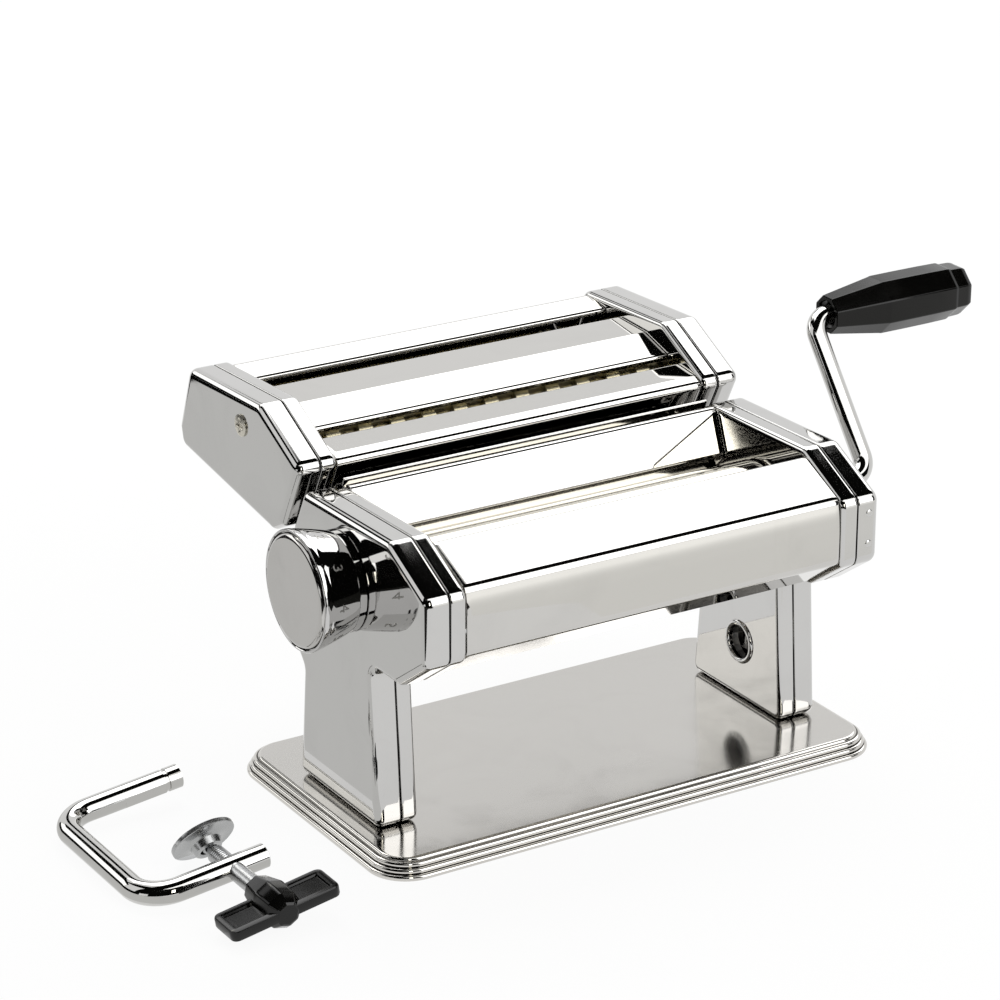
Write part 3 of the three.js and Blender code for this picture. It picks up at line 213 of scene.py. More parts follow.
class Shape:
    """Vertices and faces gathered from several surfaces."""

    def __init__(self):
        self.points, self.faces, self.count = [], [], 0

    def add(self, points, faces=()):
        """Adds points and the faces between them, and returns the number of the first new point."""
        start = self.count
        self.points.append(np.asarray(points, float).reshape(-1, 3))
        self.count += len(self.points[-1])
        for block in faces:
            self.faces += (np.asarray(block) + start).tolist()
        return start

    def skin(self, rows, along=False, start_cap=False, end_cap=False, flip=False):
        """A grid of closed rows: each cell is one face. It may close along too, or be capped at its ends."""
        rows = np.asarray(rows, float)
        count, width = rows.shape[:2]
        near = np.arange(count if along else count - 1)[:, None] * width
        far = (near + width) % (count * width)
        this = np.arange(width)
        following = (this + 1) % width
        quads = np.stack([near + this, near + following, far + following, far + this], -1).reshape(-1, 4)
        faces = [quads[:, ::-1] if flip else quads]
        for wanted, ring in ((start_cap, this[::-1]), (end_cap, (count - 1) * width + this)):
            if wanted:
                faces.append(cap_triangles(rows.reshape(-1, 3), ring[::-1] if flip else ring))
        return self.add(rows, faces)

    def closed(self, rows, flip=False):
        """Adds a skin with both ends capped, and returns the shape itself."""
        self.skin(rows, start_cap=True, end_cap=True, flip=flip)
        return self

    def build(self, name, material, body, replaces=(), sharp=32.0, slot=None):
        """Makes the mesh object, smooth but for edges sharper than the limit, and puts it in the frame.

        A piece given no body is not attached to any."""
        mesh = bpy.data.meshes.new(name)
        mesh.from_pydata((np.concatenate(self.points) * MM).tolist(), [], self.faces)
        mesh.polygons.foreach_set("use_smooth", np.ones(len(self.faces), bool))
        mesh.materials.append(material)
        mesh.set_sharp_from_angle(angle=np.radians(sharp))
        mesh.update()
        piece = bpy.data.objects.new(name, mesh)
        bpy.context.scene.collection.objects.link(piece)
        if body:
            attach(piece, body)
        if replaces:
            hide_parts(*replaces)
        return piece


def flat_with_holes(shape, x, rim, holes, flip):
    """A flat wall at one X between a rim and its holes, as triangles. Returns where each hole's ring starts."""
    rings = [rim, *holes]
    triangles = np.array(tessellate_polygon([[Vector((a, b, 0)) for a, b in ring] for ring in rings]))
    points = np.concatenate(rings)
    corner = points[triangles]
    area = np.cross(corner[:, 1] - corner[:, 0], corner[:, 2] - corner[:, 0])
    triangles = np.where((area < 0)[:, None] != flip, triangles[:, ::-1], triangles)
    start = shape.add(at_x(x, points), [triangles])
    return start + len(rim) + np.cumsum([0] + [len(h) for h in holes])[:-1]


def pressed_shell(shape, corners, radii, opening, closed, edge_radius, holes, side):
    """A pressed steel shell of a side outline, open at one X and closed at the other.

    Its rows are the outline moved inwards step by step: up the inside wall, over a small lip, along the
    outside wall and over a quarter circle onto the closed face. Holes run through the closed face."""
    lip_radius, margin = 0.45, 0.5
    way = np.sign(closed - opening)
    flip = (way < 0) != (side < 0)
    run, drop = quarter(edge_radius, 9)
    lip, lip_drop = quarter(lip_radius, 4)
    insets = np.concatenate([[SHEET, SHEET, 0.5], lip_drop[::-1], [0, 0], drop, [edge_radius + margin]])
    places = np.concatenate([[closed - way * SHEET, opening + way * 0.1, opening],
                             opening + way * (lip_radius - lip[::-1]),
                             [opening + way * 2 * lip_radius, closed - way * (edge_radius + margin)],
                             closed - way * (edge_radius - run), [closed]])
    shape.skin([at_x(x, outline(corners, radii, inset)) for x, inset in zip(places * side, insets)], flip=not flip)
    face = outline(corners, radii, edge_radius + margin)
    outer = flat_with_holes(shape, closed * side, face, holes, flip)
    inside = outline(corners, radii, SHEET)
    inner = flat_with_holes(shape, (closed - way * SHEET) * side, inside, holes, not flip)
    for hole, near, far in zip(holes, outer, inner):
        ring = np.arange(len(hole))
        following = (ring + 1) % len(hole)
        wall = np.stack([near + ring, near + following, far + following, far + ring], 1)
        shape.faces += (wall if flip else wall[:, ::-1]).tolist()


def bar_x(shape, corners, radii, half, end_radius, between=(0.0,)):
    """A bar or sheet of one side outline along X, its two ends rounded over a small quarter circle."""
    run, drop = quarter(end_radius, 4)
    places = np.concatenate([[-half], end_radius - half - run[::-1], between, half - end_radius + run, [half]])
    last = [end_radius + 0.15]
    insets = np.concatenate([last, drop[::-1], np.zeros(len(between)), drop, last])
    shape.closed([at_x(x, outline(corners, radii, inset, steps=6, hold=0.25)) for x, inset in zip(places, insets)],
                 flip=signed_area(np.array(corners, float)) < 0)


def turned(shape, profile, axis, count=64, sign=1, wrap=False):
    """A turned surface about an axis along X: at (x, r) the ring is the axis plus r times cosine and sine.

    A radius of zero at an end closes it with a fan to one point."""
    profile = np.array(profile, float)
    middle = profile[profile[:, 1] > 0]
    start = shape.skin([at_x(sign * x, ring_of(axis, r, count)) for x, r in middle], along=wrap, flip=sign < 0)
    for end, first in ((0, start), (-1, start + (len(middle) - 1) * count)):
        if profile[end, 1] > 0:
            continue
        tip = shape.add([[sign * profile[end, 0], *axis]])
        ring = first + np.arange(count)
        fan = np.stack([ring, np.roll(ring, -1), np.full(count, tip)], 1)
        shape.faces += (fan if (end == 0) == (sign > 0) else fan[:, ::-1]).tolist()


def socket(shape, axis, end, mouth, depth, count=48):
    """The six-sided pocket in a shaft's end, from a round mouth to a flat bottom."""
    hexagon = SOCKET_FLAT * hexagon_reach(sweep_of(count))
    steps = ((end, mouth), (end - 0.5, hexagon), (end - depth, hexagon), (end - depth, hexagon * 0.2))
    shape.skin([at_x(x, ring_of(axis, reach, count)) for x, reach in steps], end_cap=True, flip=True)


def bent_path(corners, radius, steps=14):
    """A planar path with round bends: at each inner corner an arc of the radius that touches both legs."""
    corner = np.array(corners, float)
    leg = unit(np.diff(corner, axis=0))
    parts = [corner[:1]]
    for at, arrive, leave in zip(corner[1:-1], leg[:-1], leg[1:]):
        turn = np.arccos(np.clip(arrive @ leave, -1, 1))
        centre = at + unit(leave - arrive) * radius / np.cos(turn / 2)
        reach = radius * np.tan(turn / 2)
        first, last = unit(at - arrive * reach - centre), unit(at + leave * reach - centre)
        parts.append(centre + radius * swung(first, last, turn, steps))
    return np.concatenate([*parts, corner[-1:]])


def refine(path, marks):
    """The same path with points added at distances along it, or back from its end where they are negative.

    Also returns each point's distance along the path, and the path's length."""
    length = np.concatenate([[0], np.cumsum(np.linalg.norm(np.diff(path, axis=0), axis=1))])
    every = np.unique(np.round(np.concatenate([length, [m if m >= 0 else length[-1] + m for m in marks]]), 4))
    return np.stack([np.interp(every, length, path[:, k]) for k in range(3)], 1), every, length[-1]


def rod(path, radii, plane_normal, count, section=None):
    """Rings along a path: point + radius times (cosine times the side plus sine times the plane's normal),
    where the side is the normal crossed with the path's direction. A section scales each ring by its angle."""
    step = unit(np.diff(path, axis=0))
    ahead = unit(np.concatenate([step[:1], step[:-1] + step[1:], step[-1:]]))
    side = unit(np.cross(plane_normal, ahead))[:, None]
    sweep = sweep_of(count)
    reach = np.reshape(radii, (-1, 1, 1)) * (1.0 if section is None else section(sweep)[:, :, None])
    round_ = np.cos(sweep)[:, None] * side + np.sin(sweep)[:, None] * np.asarray(plane_normal, float)
    return path[:, None] + reach * round_


# ---- material parts
def joined(tree, kind, settings=None, **links):
    """A node with its settings made and its inputs joined to other sockets or set to plain values."""
    node = tree.nodes.new(kind)
    for key, value in (settings or {}).items():
        setattr(node, key, value)
    for key, value in links.items():
        put = node.inputs[int(key[1:]) if key[0] == "i" and key[1:].isdigit() else key.replace("_", " ")]
        if isinstance(value, bpy.types.NodeSocket):
            tree.links.new(value, put)
        else:
            put.default_value = value
    return node


def maths(tree, operation, a, b, c=0.0):
    """One arithmetic node's result."""
    return joined(tree, "ShaderNodeMath", {"operation": operation}, i0=a, i1=b, i2=c).outputs[0]


def times(tree, a, b):
    """a times b."""
    return maths(tree, "MULTIPLY", a, b)


def plus(tree, a, b, c):
    """a times b, plus c."""
    return maths(tree, "MULTIPLY_ADD", a, b, c)


def noise(tree, place, scale, detail, rough, **more):
    """Cloudy noise from nought to one."""
    return joined(tree, "ShaderNodeTexNoise", Vector=place, Scale=scale, Detail=detail, Roughness=rough,
                  **more).outputs[0]


def ranged(tree, value, low, high):
    """The value spread so that low becomes nought and high becomes one."""
    return joined(tree, "ShaderNodeMapRange", Value=value, i1=low, i2=high, i3=0.0, i4=1.0).outputs[0]


def finish_group(name, **inputs):
    """An empty group for a finish. Each input's kind comes from its value: none, a number or a colour."""
    group = bpy.data.node_groups.new(name, "ShaderNodeTree")
    kinds = {type(None): "NodeSocketVector", float: "NodeSocketFloat", tuple: "NodeSocketColor"}
    for label, value in inputs.items():
        given = group.interface.new_socket(name=label, in_out="INPUT", socket_type=kinds[type(value)])
        if value is not None:
            given.default_value = value
    for label, kind in (("Colour", tuple), ("Roughness", float), ("Height", float)):
        group.interface.new_socket(name=label, in_out="OUTPUT", socket_type=kinds[kind])
    return group, group.nodes.new("NodeGroupInput").outputs


def finish_outputs(group, colour, shade, rough, height):
    """Ends a finish: the colour times its shade, the roughness and the height go out."""
    shaded = joined(group, "ShaderNodeVectorMath", {"operation": "SCALE"}, i0=colour, Scale=shade).outputs[0]
    joined(group, "NodeGroupOutput", Colour=shaded, Roughness=rough, Height=height)
    return group


def plated_finish():
    """How a plated surface varies: wipe marks, fine scratches, dust, and a slow dent of thin sheet."""
    tree, given = finish_group("plated_finish", Place=None, Gloss=0.04, Smudge=0.05, Scratch=0.5, Dent=0.5,
                               Colour=(0.56, 0.555, 0.545, 1), Dust=0.0)
    place = given["Place"]
    wipe = ranged(tree, noise(tree, place, 34.0, 4.0, 0.55, Distortion=1.2), 0.45, 0.78)
    hairs = joined(tree, "ShaderNodeMapping", Vector=place, Scale=(30, 900, 700), Rotation=(0.3, 0.2, 0.5)).outputs[0]
    hair = times(tree, ranged(tree, noise(tree, hairs, 1.0, 3.0, 0.6), 0.62, 0.8), given["Scratch"])
    slow = noise(tree, place, 16.0, 1.0, 0.4)
    speck = joined(tree, "ShaderNodeTexVoronoi", Vector=place, Scale=520.0).outputs[0]
    speck = times(tree, ranged(tree, speck, 0.1, 0.04), given["Dust"])
    rough = plus(tree, wipe, given["Smudge"], given["Gloss"])
    rough = plus(tree, hair, 0.05, rough)
    rough = plus(tree, speck, 0.3, rough)
    height = plus(tree, hair, -0.01, times(tree, slow, given["Dent"]))
    return finish_outputs(tree, given["Colour"], plus(tree, wipe, -0.05, 1.0), rough, height)


def moulded_finish():
    """How moulded black plastic varies: a fine grain, flow marks and rubbed patches."""
    tree, given = finish_group("moulded_finish", Place=None, Gloss=0.2, Rub=0.1, Grain=1.0,
                               Colour=(0.012, 0.012, 0.011, 1))
    place = given["Place"]
    grain = noise(tree, place, 1500.0, 2.0, 0.6)
    rub = ranged(tree, noise(tree, place, 60.0, 4.0, 0.6, Distortion=0.8), 0.4, 0.75)
    rough = plus(tree, rub, given["Rub"], given["Gloss"])
    height = times(tree, grain, given["Grain"])
    return finish_outputs(tree, given["Colour"], plus(tree, rub, 0.6, 1.0), rough, height)


PLATED = plated_finish()
MOULDED = moulded_finish()
PLATE_RELIEF, GRAIN_RELIEF = 0.0002, 0.00004


def finished(name, group, bump, relief, ridges=None, **values):
    """A material whose colour, roughness and relief come from a finish, and its shader."""
    material = bpy.data.materials.new(name)
    material.use_nodes = True
    tree = material.node_tree
    shader = tree.nodes["Principled BSDF"]
    place = joined(tree, "ShaderNodeTexCoord").outputs["Object"]
    finish = joined(tree, "ShaderNodeGroup", {"node_tree": group}, Place=place, **values).outputs
    height = finish["Height"]
    if ridges:
        direction, spacing, strength = ridges
        scale = tuple(d / spacing for d in direction)
        across = joined(tree, "ShaderNodeMapping", Vector=place, Scale=scale).outputs[0]
        height = plus(tree, noise(tree, across, 1.0, 3.0, 0.7), strength, height)
    normal = joined(tree, "ShaderNodeBump", Strength=bump, Distance=relief, Height=height).outputs[0]
    for label, source in (("Base Color", finish["Colour"]), ("Roughness", finish["Roughness"]), ("Normal", normal)):
        tree.links.new(source, shader.inputs[label])
    return material, shader


def metal(name, colour, gloss, smudge=0.04, scratch=0.5, dent=0.3, dust=0.2, bump=0.05, ridges=None):
    """A metal with the plated finish. Ridges, if given, are (direction, spacing in metres, strength)."""
    material, shader = finished(name, PLATED, bump, PLATE_RELIEF, ridges, Gloss=gloss, Smudge=smudge,
                                Scratch=scratch, Dent=dent, Dust=dust, Colour=(*colour, 1.0))
    shader.inputs["Metallic"].default_value = 1.0
    return material


def plastic(name, colour, gloss, rub, grain, bump, specular):
    """A moulded plastic with its grain and rubbed patches."""
    material, shader = finished(name, MOULDED, bump, GRAIN_RELIEF, Gloss=gloss, Rub=rub, Grain=grain,
                                Colour=(*colour, 1.0))
    shader.inputs["Specular IOR Level"].default_value = specular
    return material


DECK_CHROME = metal("deck_chrome", (0.535, 0.522, 0.5), 0.12, smudge=0.05, dent=0.5)
RIM_CHROME = metal("rim_chrome", (0.6, 0.585, 0.555), 0.045, smudge=0.05, dent=0.4, dust=0.1)
# A near-black metal laid on the bottoms of the base's grooves as painted shade.
GROOVE_PAINTED_SHADE = metal("groove_shadow", (0.06, 0.056, 0.05), 0.35, smudge=0.1)
HOUSING_CHROME = metal("housing_chrome", (0.56, 0.555, 0.545), 0.035, dent=0.35, dust=0.04)
SHEET_CHROME = metal("sheet_chrome", (0.575, 0.565, 0.545), 0.035, dent=0.4, dust=0.06)
ROLLER_CHROME = metal("roller_chrome", (0.62, 0.59, 0.52), 0.07, dent=0.0, scratch=0.9,
                      ridges=((1, 0.02, 0.02), 0.0006, 0.4))
KNOB_CHROME = metal("knob_chrome", (0.56, 0.555, 0.55), 0.03, dust=0.05)
CAP_CHROME = metal("cap_chrome", (0.53, 0.52, 0.505), 0.09, smudge=0.06, dent=0.1, dust=0.05)
ROD_CHROME = metal("rod_chrome", (0.57, 0.565, 0.55), 0.04, dent=0.1, dust=0.05)
STEEL = metal("plain_steel", (0.46, 0.45, 0.43), 0.32, smudge=0.1, scratch=1.0, dent=0.2, bump=0.2)
CUTTER_STEEL = metal("cutter_steel", (0.66, 0.6, 0.42), 0.27, smudge=0.08, scratch=0.8, dent=0.1)
ZINC = metal("zinc_plate", (0.47, 0.475, 0.48), 0.24, smudge=0.12, scratch=0.7, dent=0.4, bump=0.12)
NICKEL = metal("nickel_plate", (0.66, 0.63, 0.55), 0.3, smudge=0.08, scratch=0.6, dent=0.2)
BRASS = metal("brass", (0.56, 0.43, 0.2), 0.2, smudge=0.12, scratch=0.8)
BLACK_GLOSS = plastic("gloss_black_plastic", (0.0018, 0.0017, 0.0014), 0.12, rub=0.06, grain=0.5, bump=0.06,
                      specular=0.27)
BLACK_SATIN = plastic("satin_black_plastic", (0.0018, 0.0018, 0.0016), 0.13, rub=0.05, grain=0.3, bump=0.02,
                      specular=0.34)
INK = metal("etched_number", (0.36, 0.355, 0.34), 0.42, smudge=0.1, dust=0.3)


# ---- base
def base_deck():
    """The pressed base: a flat deck, a soft edge, a groove and three beads that step out to the table.

    Across the rim the profile runs along a slanted line and swells out of it by a power of the size of a sine of
    three half waves, so that full beads meet in narrow grooves. The faces at the grooves' bottoms get a near-black
    material as painted shade."""
    corner_radius, bead_steps, bead_height = 15.5, 61, 0.9
    half_x, half_y, top = (face_of("base_top", 1, axis) for axis in range(3))
    corners = [(-half_x, -half_y), (half_x, -half_y), (half_x, half_y), (-half_x, half_y)]
    share = np.linspace(0, 1, bead_steps)
    swell = bead_height * np.abs(np.sin(3 * np.pi * share)) ** 0.62
    start, end = np.array([4.3, 5.9]), np.array([0.85, 0.15])
    across = unit(end - start)
    beads = start + (end - start) * share[:, None] + swell[:, None] * np.array([across[1], -across[0]])
    beads[:, 1] = np.maximum(beads[:, 1], 0.0)
    run, drop = quarter(1.1, 7)
    edge = np.stack([5.6 - run, top - drop], 1)
    under = np.array([[2.0, 0.0], [2.0, 1.4], [5.8, 3.0], [6.4, top - 1.2], [7.4, top - 1.2]])
    profile = np.vstack([[[8.0, top], [6.2, top]], edge, beads, under])
    rows = [at_z(z, outline(corners, corner_radius, inset, steps=14)) for inset, z in profile]
    shape = Shape().closed(rows, flip=True)
    piece = shape.build("base_deck", DECK_CHROME, "machine", ["base_top"], slot="deck_chrome")
    piece.data.materials.append(GROOVE_PAINTED_SHADE)
    piece.data.materials.append(RIM_CHROME)
    row_of_face = np.minimum(np.arange(len(shape.faces)) // len(rows[0]), len(rows))
    first = 2 + len(edge)
    # The faces where the deck's edge meets the first bead and between the beads take the painted-shade material.
    groove = np.isin(row_of_face, first + np.array([-1, 0, 18, 19, 20, 21, 38, 39, 40, 41]))
    rim = (row_of_face >= 2) & (row_of_face < first + bead_steps)
    piece.data.polygons.foreach_set("material_index", np.where(groove, 1, np.where(rim, 2, 0)).astype(np.int32))


# ---- end housings
def stud(shape, at, direction, radius, height, count=20):
    """A low dome: rings of radius times sine lifted by height times cosine along one direction."""
    ahead = unit(np.array(direction, float))
    side = unit(np.cross(ahead, [0.1, 0.2, 1.0]))
    sweep = sweep_of(count)[:, None]
    lift = np.linspace(np.pi / 2, 0.15, 6)[:, None, None]
    rows = (np.array(at, float) + height * np.cos(lift) * ahead
            + radius * np.sin(lift) * (np.cos(sweep) * side + np.sin(sweep) * np.cross(ahead, side)))
    shape.closed(np.concatenate([rows[:1] - 0.5 * ahead, rows]))


def collar(shape, x, centre, radius):
    """A raised ring pressed up round a hole: a flattened half round swept about the hole's axis."""
    height, width = 0.9, 2.1
    sweep = np.linspace(0, np.pi, 11)
    profile = np.stack([x - height * np.sin(sweep), radius + width / 2 * (1 - np.cos(sweep))], 1)
    profile = np.vstack([profile, [[x + SHEET, radius + width], [x + SHEET, radius]]])
    turned(shape, profile[::-1], centre, count=56, wrap=True)


def bearing_window():
    """The slot with round ends in which the rear roller's bearing block slides."""
    half_length, half_width, corner_radius, shift = 8.15, 7, 6.9, 1.15
    slide = unit(REAR_AXIS - FRONT_AXIS)
    across = np.array([-slide[1], slide[0]])
    middle = REAR_AXIS - slide * shift
    corners = [middle + a * slide * half_length + b * across * half_width
               for a, b in ((-1, -1), (1, -1), (1, 1), (-1, 1))]
    return outline(corners, corner_radius, hold=0.02)


def shells(prefix, corners, radii, body, holes, fitted=None):
    """The outer and the inner pressed shell of both ends, with the holes of each side and place.

    What is fitted goes onto the right-hand shells only."""
    for side, label in ENDS:
        for place, name, opening, closed, edge_radius in (
                ("outer", "end_shell", SEAM_OUTSIDE, OUTER_FACE, OUTER_EDGE),
                ("inner", "inner_shell", SEAM_INSIDE, INNER_FACE, INNER_EDGE)):
            shape = Shape()
            pressed_shell(shape, corners, radii, opening, closed, edge_radius, holes[side, place], side)
            if fitted and side > 0:
                fitted(shape, place)
            shape.build(f"{prefix}{label}_{name}", HOUSING_CHROME, body, [f"{prefix}{label}_{place}_cover"],
                        slot="housing_chrome")


def housings():
    """The machine's end housings, with two studs and the clamp hole's collar on the right."""
    clamp_hole = ring_of(CLAMP_HOLE, CLAMP_HOLE_RADIUS)
    inner = [ring_of(FRONT_AXIS, 7), bearing_window(), ring_of(TIE_ROD, 3.3, 24)]

    def fitted(shape, place):
        if place == "inner":
            return collar(shape, INNER_FACE, CLAMP_HOLE, CLAMP_HOLE_RADIUS)
        for z in (87, 98.5):
            stud(shape, (87.5, -63.15, z), (0, -1, 0), 1.5, 0.45)

    shells("", HOUSING, HOUSING_RADII, "machine", {
        (-1, "outer"): [ring_of(KNOB_AXIS, 6.6)], (-1, "inner"): inner,
        (1, "outer"): [ring_of(FRONT_AXIS, 5.7), clamp_hole], (1, "inner"): inner + [clamp_hole]}, fitted)


def cutter_housings():
    """The cutter head's end housings, made as the machine's own are."""
    screw = [ring_of(CUT_SCREW, 2.5, 24)]
    shafts = [ring_of(axis, 4.7, 32) for axis in (WIDE_FRONT, WIDE_REAR, FINE_FRONT, FINE_REAR)] + screw
    sockets = [ring_of(axis, 4.5, 32) for axis in (WIDE_REAR, FINE_FRONT)]
    shells("cutter_", CUT_HOUSING, CUT_RADII, "cutter_head", {
        (-1, "outer"): screw, (-1, "inner"): shafts, (1, "outer"): screw + sockets, (1, "inner"): shafts})


def cutter_screws():
    """Two screw heads with a cross recess: on rings and spokes the height is a flat dome less a smooth cross.

    The cross is deep where the distance to either bar's middle line is small and fades towards the arms'
    ends."""
    rings, spokes, radius, head, depth = 26, 96, CUT_SCREW_RADIUS, 0.9, 1.1
    arm_half, arm_length = 0.14 * radius, 0.62 * radius
    face = OUTER_FACE + 0.1
    r = np.linspace(0.03, 1, rings)[:, None] * radius
    u, v = r * np.cos(sweep_of(spokes)), r * np.sin(sweep_of(spokes))
    bar = np.minimum(np.abs(u), np.abs(v))
    inside = 1 / (1 + np.exp((bar - arm_half) / (0.025 * radius)))
    inside = inside / (1 + np.exp((r - arm_length) / (0.03 * radius)))
    lift = np.minimum(head * (1 - (r / radius) ** 2 * 0.45) - depth * inside, head)
    for side, label in ENDS:
        rows = np.stack([side * (face + lift), CUT_SCREW[0] + u, CUT_SCREW[1] + v], -1)[::-1]
        under = [at_x(side * (face + x), ring_of(CUT_SCREW, reach, spokes))
                 for x, reach in ((-2.0, radius / 2), (0.05, radius))]
        Shape().closed([*under, *rows], flip=side < 0).build(
            f"cutter_head_screw_{label}", NICKEL, "cutter_head", [f"cutter_screw_{label}"])


# ---- covers between the housings
def covers():
    """The bent sheets between the housings: the machine's three, then the cutter head's three and its strip."""
    places = np.linspace(2 - COVER_HALF, COVER_HALF - 2, 9)
    for name, node, bend, path in (
            ("front_skin", "front_cover", [1.9, 1.9, 2.6, 60, 40, 2.2, 1.6, 1.9],
             [(-24, 70.6), (-44.5, 68.6), (-62.3, 81.6), (-62.3, 93.5), (-61.8, 100), (-60.9, 105.1), (-40, 114.8),
              (-37, 111.6)]),
            ("rear_skin", "rear_cover", 1.2, [(20.7, 117.0), (32.4, 91.8), (40.5, 89.4), (40.5, 71.6), (27.5, 55.4)]),
            ("feed_skin", "feed_plate", 0.9, [(13.2, 92.8), (8.8, 98.9), (15.2, 115.5), (18.8, 115.1)]),
            ("cutter_front_skin", "cutter_front_cover", 1.1,
             [(52, 95.9), (43.4, 94.4), (35.9, 98), (23.6, 121.4), (28, 123.6), (40.3, 124.8), (41.1, 123.9)]),
            ("cutter_middle_skin", "cutter_middle_cover", 0.8,
             [(46.5, 125.0), (46.2, 126.2), (61.8, 130.6), (79.8, 131.3), (81.3, 130.2), (81.6, 129.2)]),
            ("cutter_rear_skin", "cutter_rear_cover", 1.2,
             [(88.5, 131.0), (88.6, 132.2), (101.4, 134.3), (111.8, 110.8), (110.2, 104.2), (96, 102.1)]),
            ("cutter_strip", "cutter_drip_tray", 0.4, [(76, 99.2), (64, 97.4)])):
        body = "cutter_head" if node.startswith("cutter") else "machine"
        shape = Shape()
        bar_x(shape, *sheet_outline(path, COVER_SHEET, bend), COVER_HALF, 0.3, places)
        shape.build(name, SHEET_CHROME, body, [node], slot="sheet_chrome")


def ledge_rail():
    """The black bar that the cutter head stands on."""
    shape = Shape()
    bar_x(shape, [(34.8, 91.4), (40, 89.86), (41.5, 94.95), (36.5, 97.35)], 0.7, COVER_HALF, 0.4)
    shape.build("ledge_rail", BLACK_SATIN, "machine", ["cutter_rail"])


# ---- rollers and cutters
def roller_profile(end, middle_end):
    """A smooth roller with chamfered ends and its journals, up to the radius at which its right end stops."""
    def half(tip):
        return [(72, 15.5), (73.9, 15.5), (74.6, 15.3), (75, 14.6), (75, 6.4), (75.4, 6), (tip - 0.4, 6), (tip, 5.6)]
    left = [(-x, r) for x, r in half(80.5)[::-1]]
    return [(-80.5, 0)] + left + [(x, 15.5) for x in np.linspace(-60, 60, 9)] + half(end) + [(end, middle_end)]


def rollers():
    """Both smooth rollers. The front one has a six-sided socket for the crank."""
    end = face_of("front_roller", 1)
    for place, axis, body, mouth in (
            ("front", FRONT_AXIS, "drive_roller", 3.4), ("rear", REAR_AXIS, "driven_roller", 0)):
        shape = Shape()
        turned(shape, roller_profile(end, mouth), axis, count=96)
        if mouth:
            socket(shape, axis, end, mouth, 22)
        shape.build(f"{place}_smooth_roller", ROLLER_CHROME, body, [f"{place}_roller"], slot="roller_chrome")


WIDE_DISC = ((0.25, 6.2), (0.25, 8.15), (0.5, 8.4), (6.0, 8.4), (6.25, 8.15), (6.25, 6.2))
FINE_DISC = ((0, 5.9), (0.08, 7.1), (0.67, 7.1), (0.75, 5.9))
WIDE_PITCH, FINE_PITCH = 13.0, 1.5


def disc_profile(starts, disc):
    """Discs and grooves in turn between two journals: one disc's (place, radius) pairs stand at each start."""
    core = disc[0][1]
    discs = [(start + x, r) for start in starts for x, r in disc]
    return [(-77.5, 0), (-77.5, 4.4), (-75, 4.4), (-75, core), *discs, (75, core), (75, 4.4)]


def cutter_shafts():
    """The four cutter shafts. Two of them take the crank."""
    end, mouth = face_of("wide_cutter_rear", 1), 3.3
    for kind, place, axis, shift, driven in (
            ("wide", "rear", WIDE_REAR, WIDE_PITCH / 2, True), ("wide", "front", WIDE_FRONT, 0, False),
            ("fine", "front", FINE_FRONT, 0, True), ("fine", "rear", FINE_REAR, FINE_PITCH / 2, False)):
        if kind == "wide":
            count, profile = 48, disc_profile(np.arange(shift - 73.5, 67.5, WIDE_PITCH), WIDE_DISC)
        else:
            count, profile = 32, disc_profile(np.arange(shift - 74, 73.2, FINE_PITCH), FINE_DISC)
        shape = Shape()
        turned(shape, profile + [(end, 4.4), (end, mouth if driven else 0)], axis, count)
        if driven:
            socket(shape, axis, end, mouth, 17, count)
        shape.build(f"{kind}_discs_{place}", CUTTER_STEEL, f"{kind}_{place}", [f"{kind}_cutter_{place}"],
                    slot="cutter_steel", sharp=25)


# ---- thickness knob
def digit_mesh(text, size):
    """A digit's outline as a thin solid: flat points (a, b) centred on the origin, and its faces."""
    curve = bpy.data.curves.new("digit", "FONT")
    curve.body, curve.size, curve.align_x, curve.align_y = text, size, "CENTER", "CENTER"
    curve.extrude = 0.12
    holder = bpy.data.objects.new("digit", curve)
    bpy.context.scene.collection.objects.link(holder)
    bpy.context.view_layer.update()
    mesh = bpy.data.meshes.new_from_object(holder.evaluated_get(bpy.context.evaluated_depsgraph_get()))
    points = np.zeros(len(mesh.vertices) * 3)
    mesh.vertices.foreach_get("co", points)
    faces = [list(p.vertices) for p in mesh.polygons]
    bpy.data.objects.remove(holder)
    bpy.data.curves.remove(curve)
    bpy.data.meshes.remove(mesh)
    return points.reshape(-1, 3), faces


def knob_reach(x):
    """The knob's radius at a distance along it: narrow at the waist and full at its outer face."""
    waist_radius, flare, start, length = 17.9, 3.1, 95.1, 11.5
    return waist_radius + flare * np.clip((x - start) / length, 0, 1) ** 0.85


def knob_turned(name, profile, material, body, node, count=96, wrap=True):
    """A turned piece of the knob. Its profile runs outwards to the left."""
    shape = Shape()
    turned(shape, profile, KNOB_AXIS, count, sign=-1, wrap=wrap)
    shape.build(name, material, body, [node], slot="knob_chrome")


def knob_numbers():
    """The numbers 1 to 9 on the waist."""
    waist, size, first_angle, step_angle, bend_radius = 102.4, 5.6, 118, 40, 19.0
    shape = Shape()
    for index in range(9):
        points, faces = digit_mesh(str(index + 1), size)
        angle = np.radians(first_angle - step_angle * index) - points[:, 0] / bend_radius
        x = waist - points[:, 1]
        reach = knob_reach(x) + 0.02 + points[:, 2] * 0.6
        y, z = KNOB_AXIS[0] - reach * np.cos(angle), KNOB_AXIS[1] + reach * np.sin(angle)
        start = shape.add(np.stack([-x, y, z], 1))
        shape.faces += [[start + k for k in face] for face in faces]
    shape.build("dial_numbers", INK, "knob")


def knob_spring():
    """A coil that runs from the knob's pocket floor to the spindle's head, built without a body."""
    steps, turns, radius, wire = 97, 3, 6, 0.35
    turn = np.linspace(0, turns * 2 * np.pi, steps)
    coil = np.stack([-np.linspace(99.7, 106.3, steps), KNOB_AXIS[0] + radius * np.cos(turn),
                     KNOB_AXIS[1] + radius * np.sin(turn)], 1)
    wound = Shape().closed(rod(coil, np.full(steps, wire), (1, 0, 0), 12))
    spring = wound.build("dial_spring", STEEL, None, ["knob_spring"], slot="steel")
    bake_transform(spring)


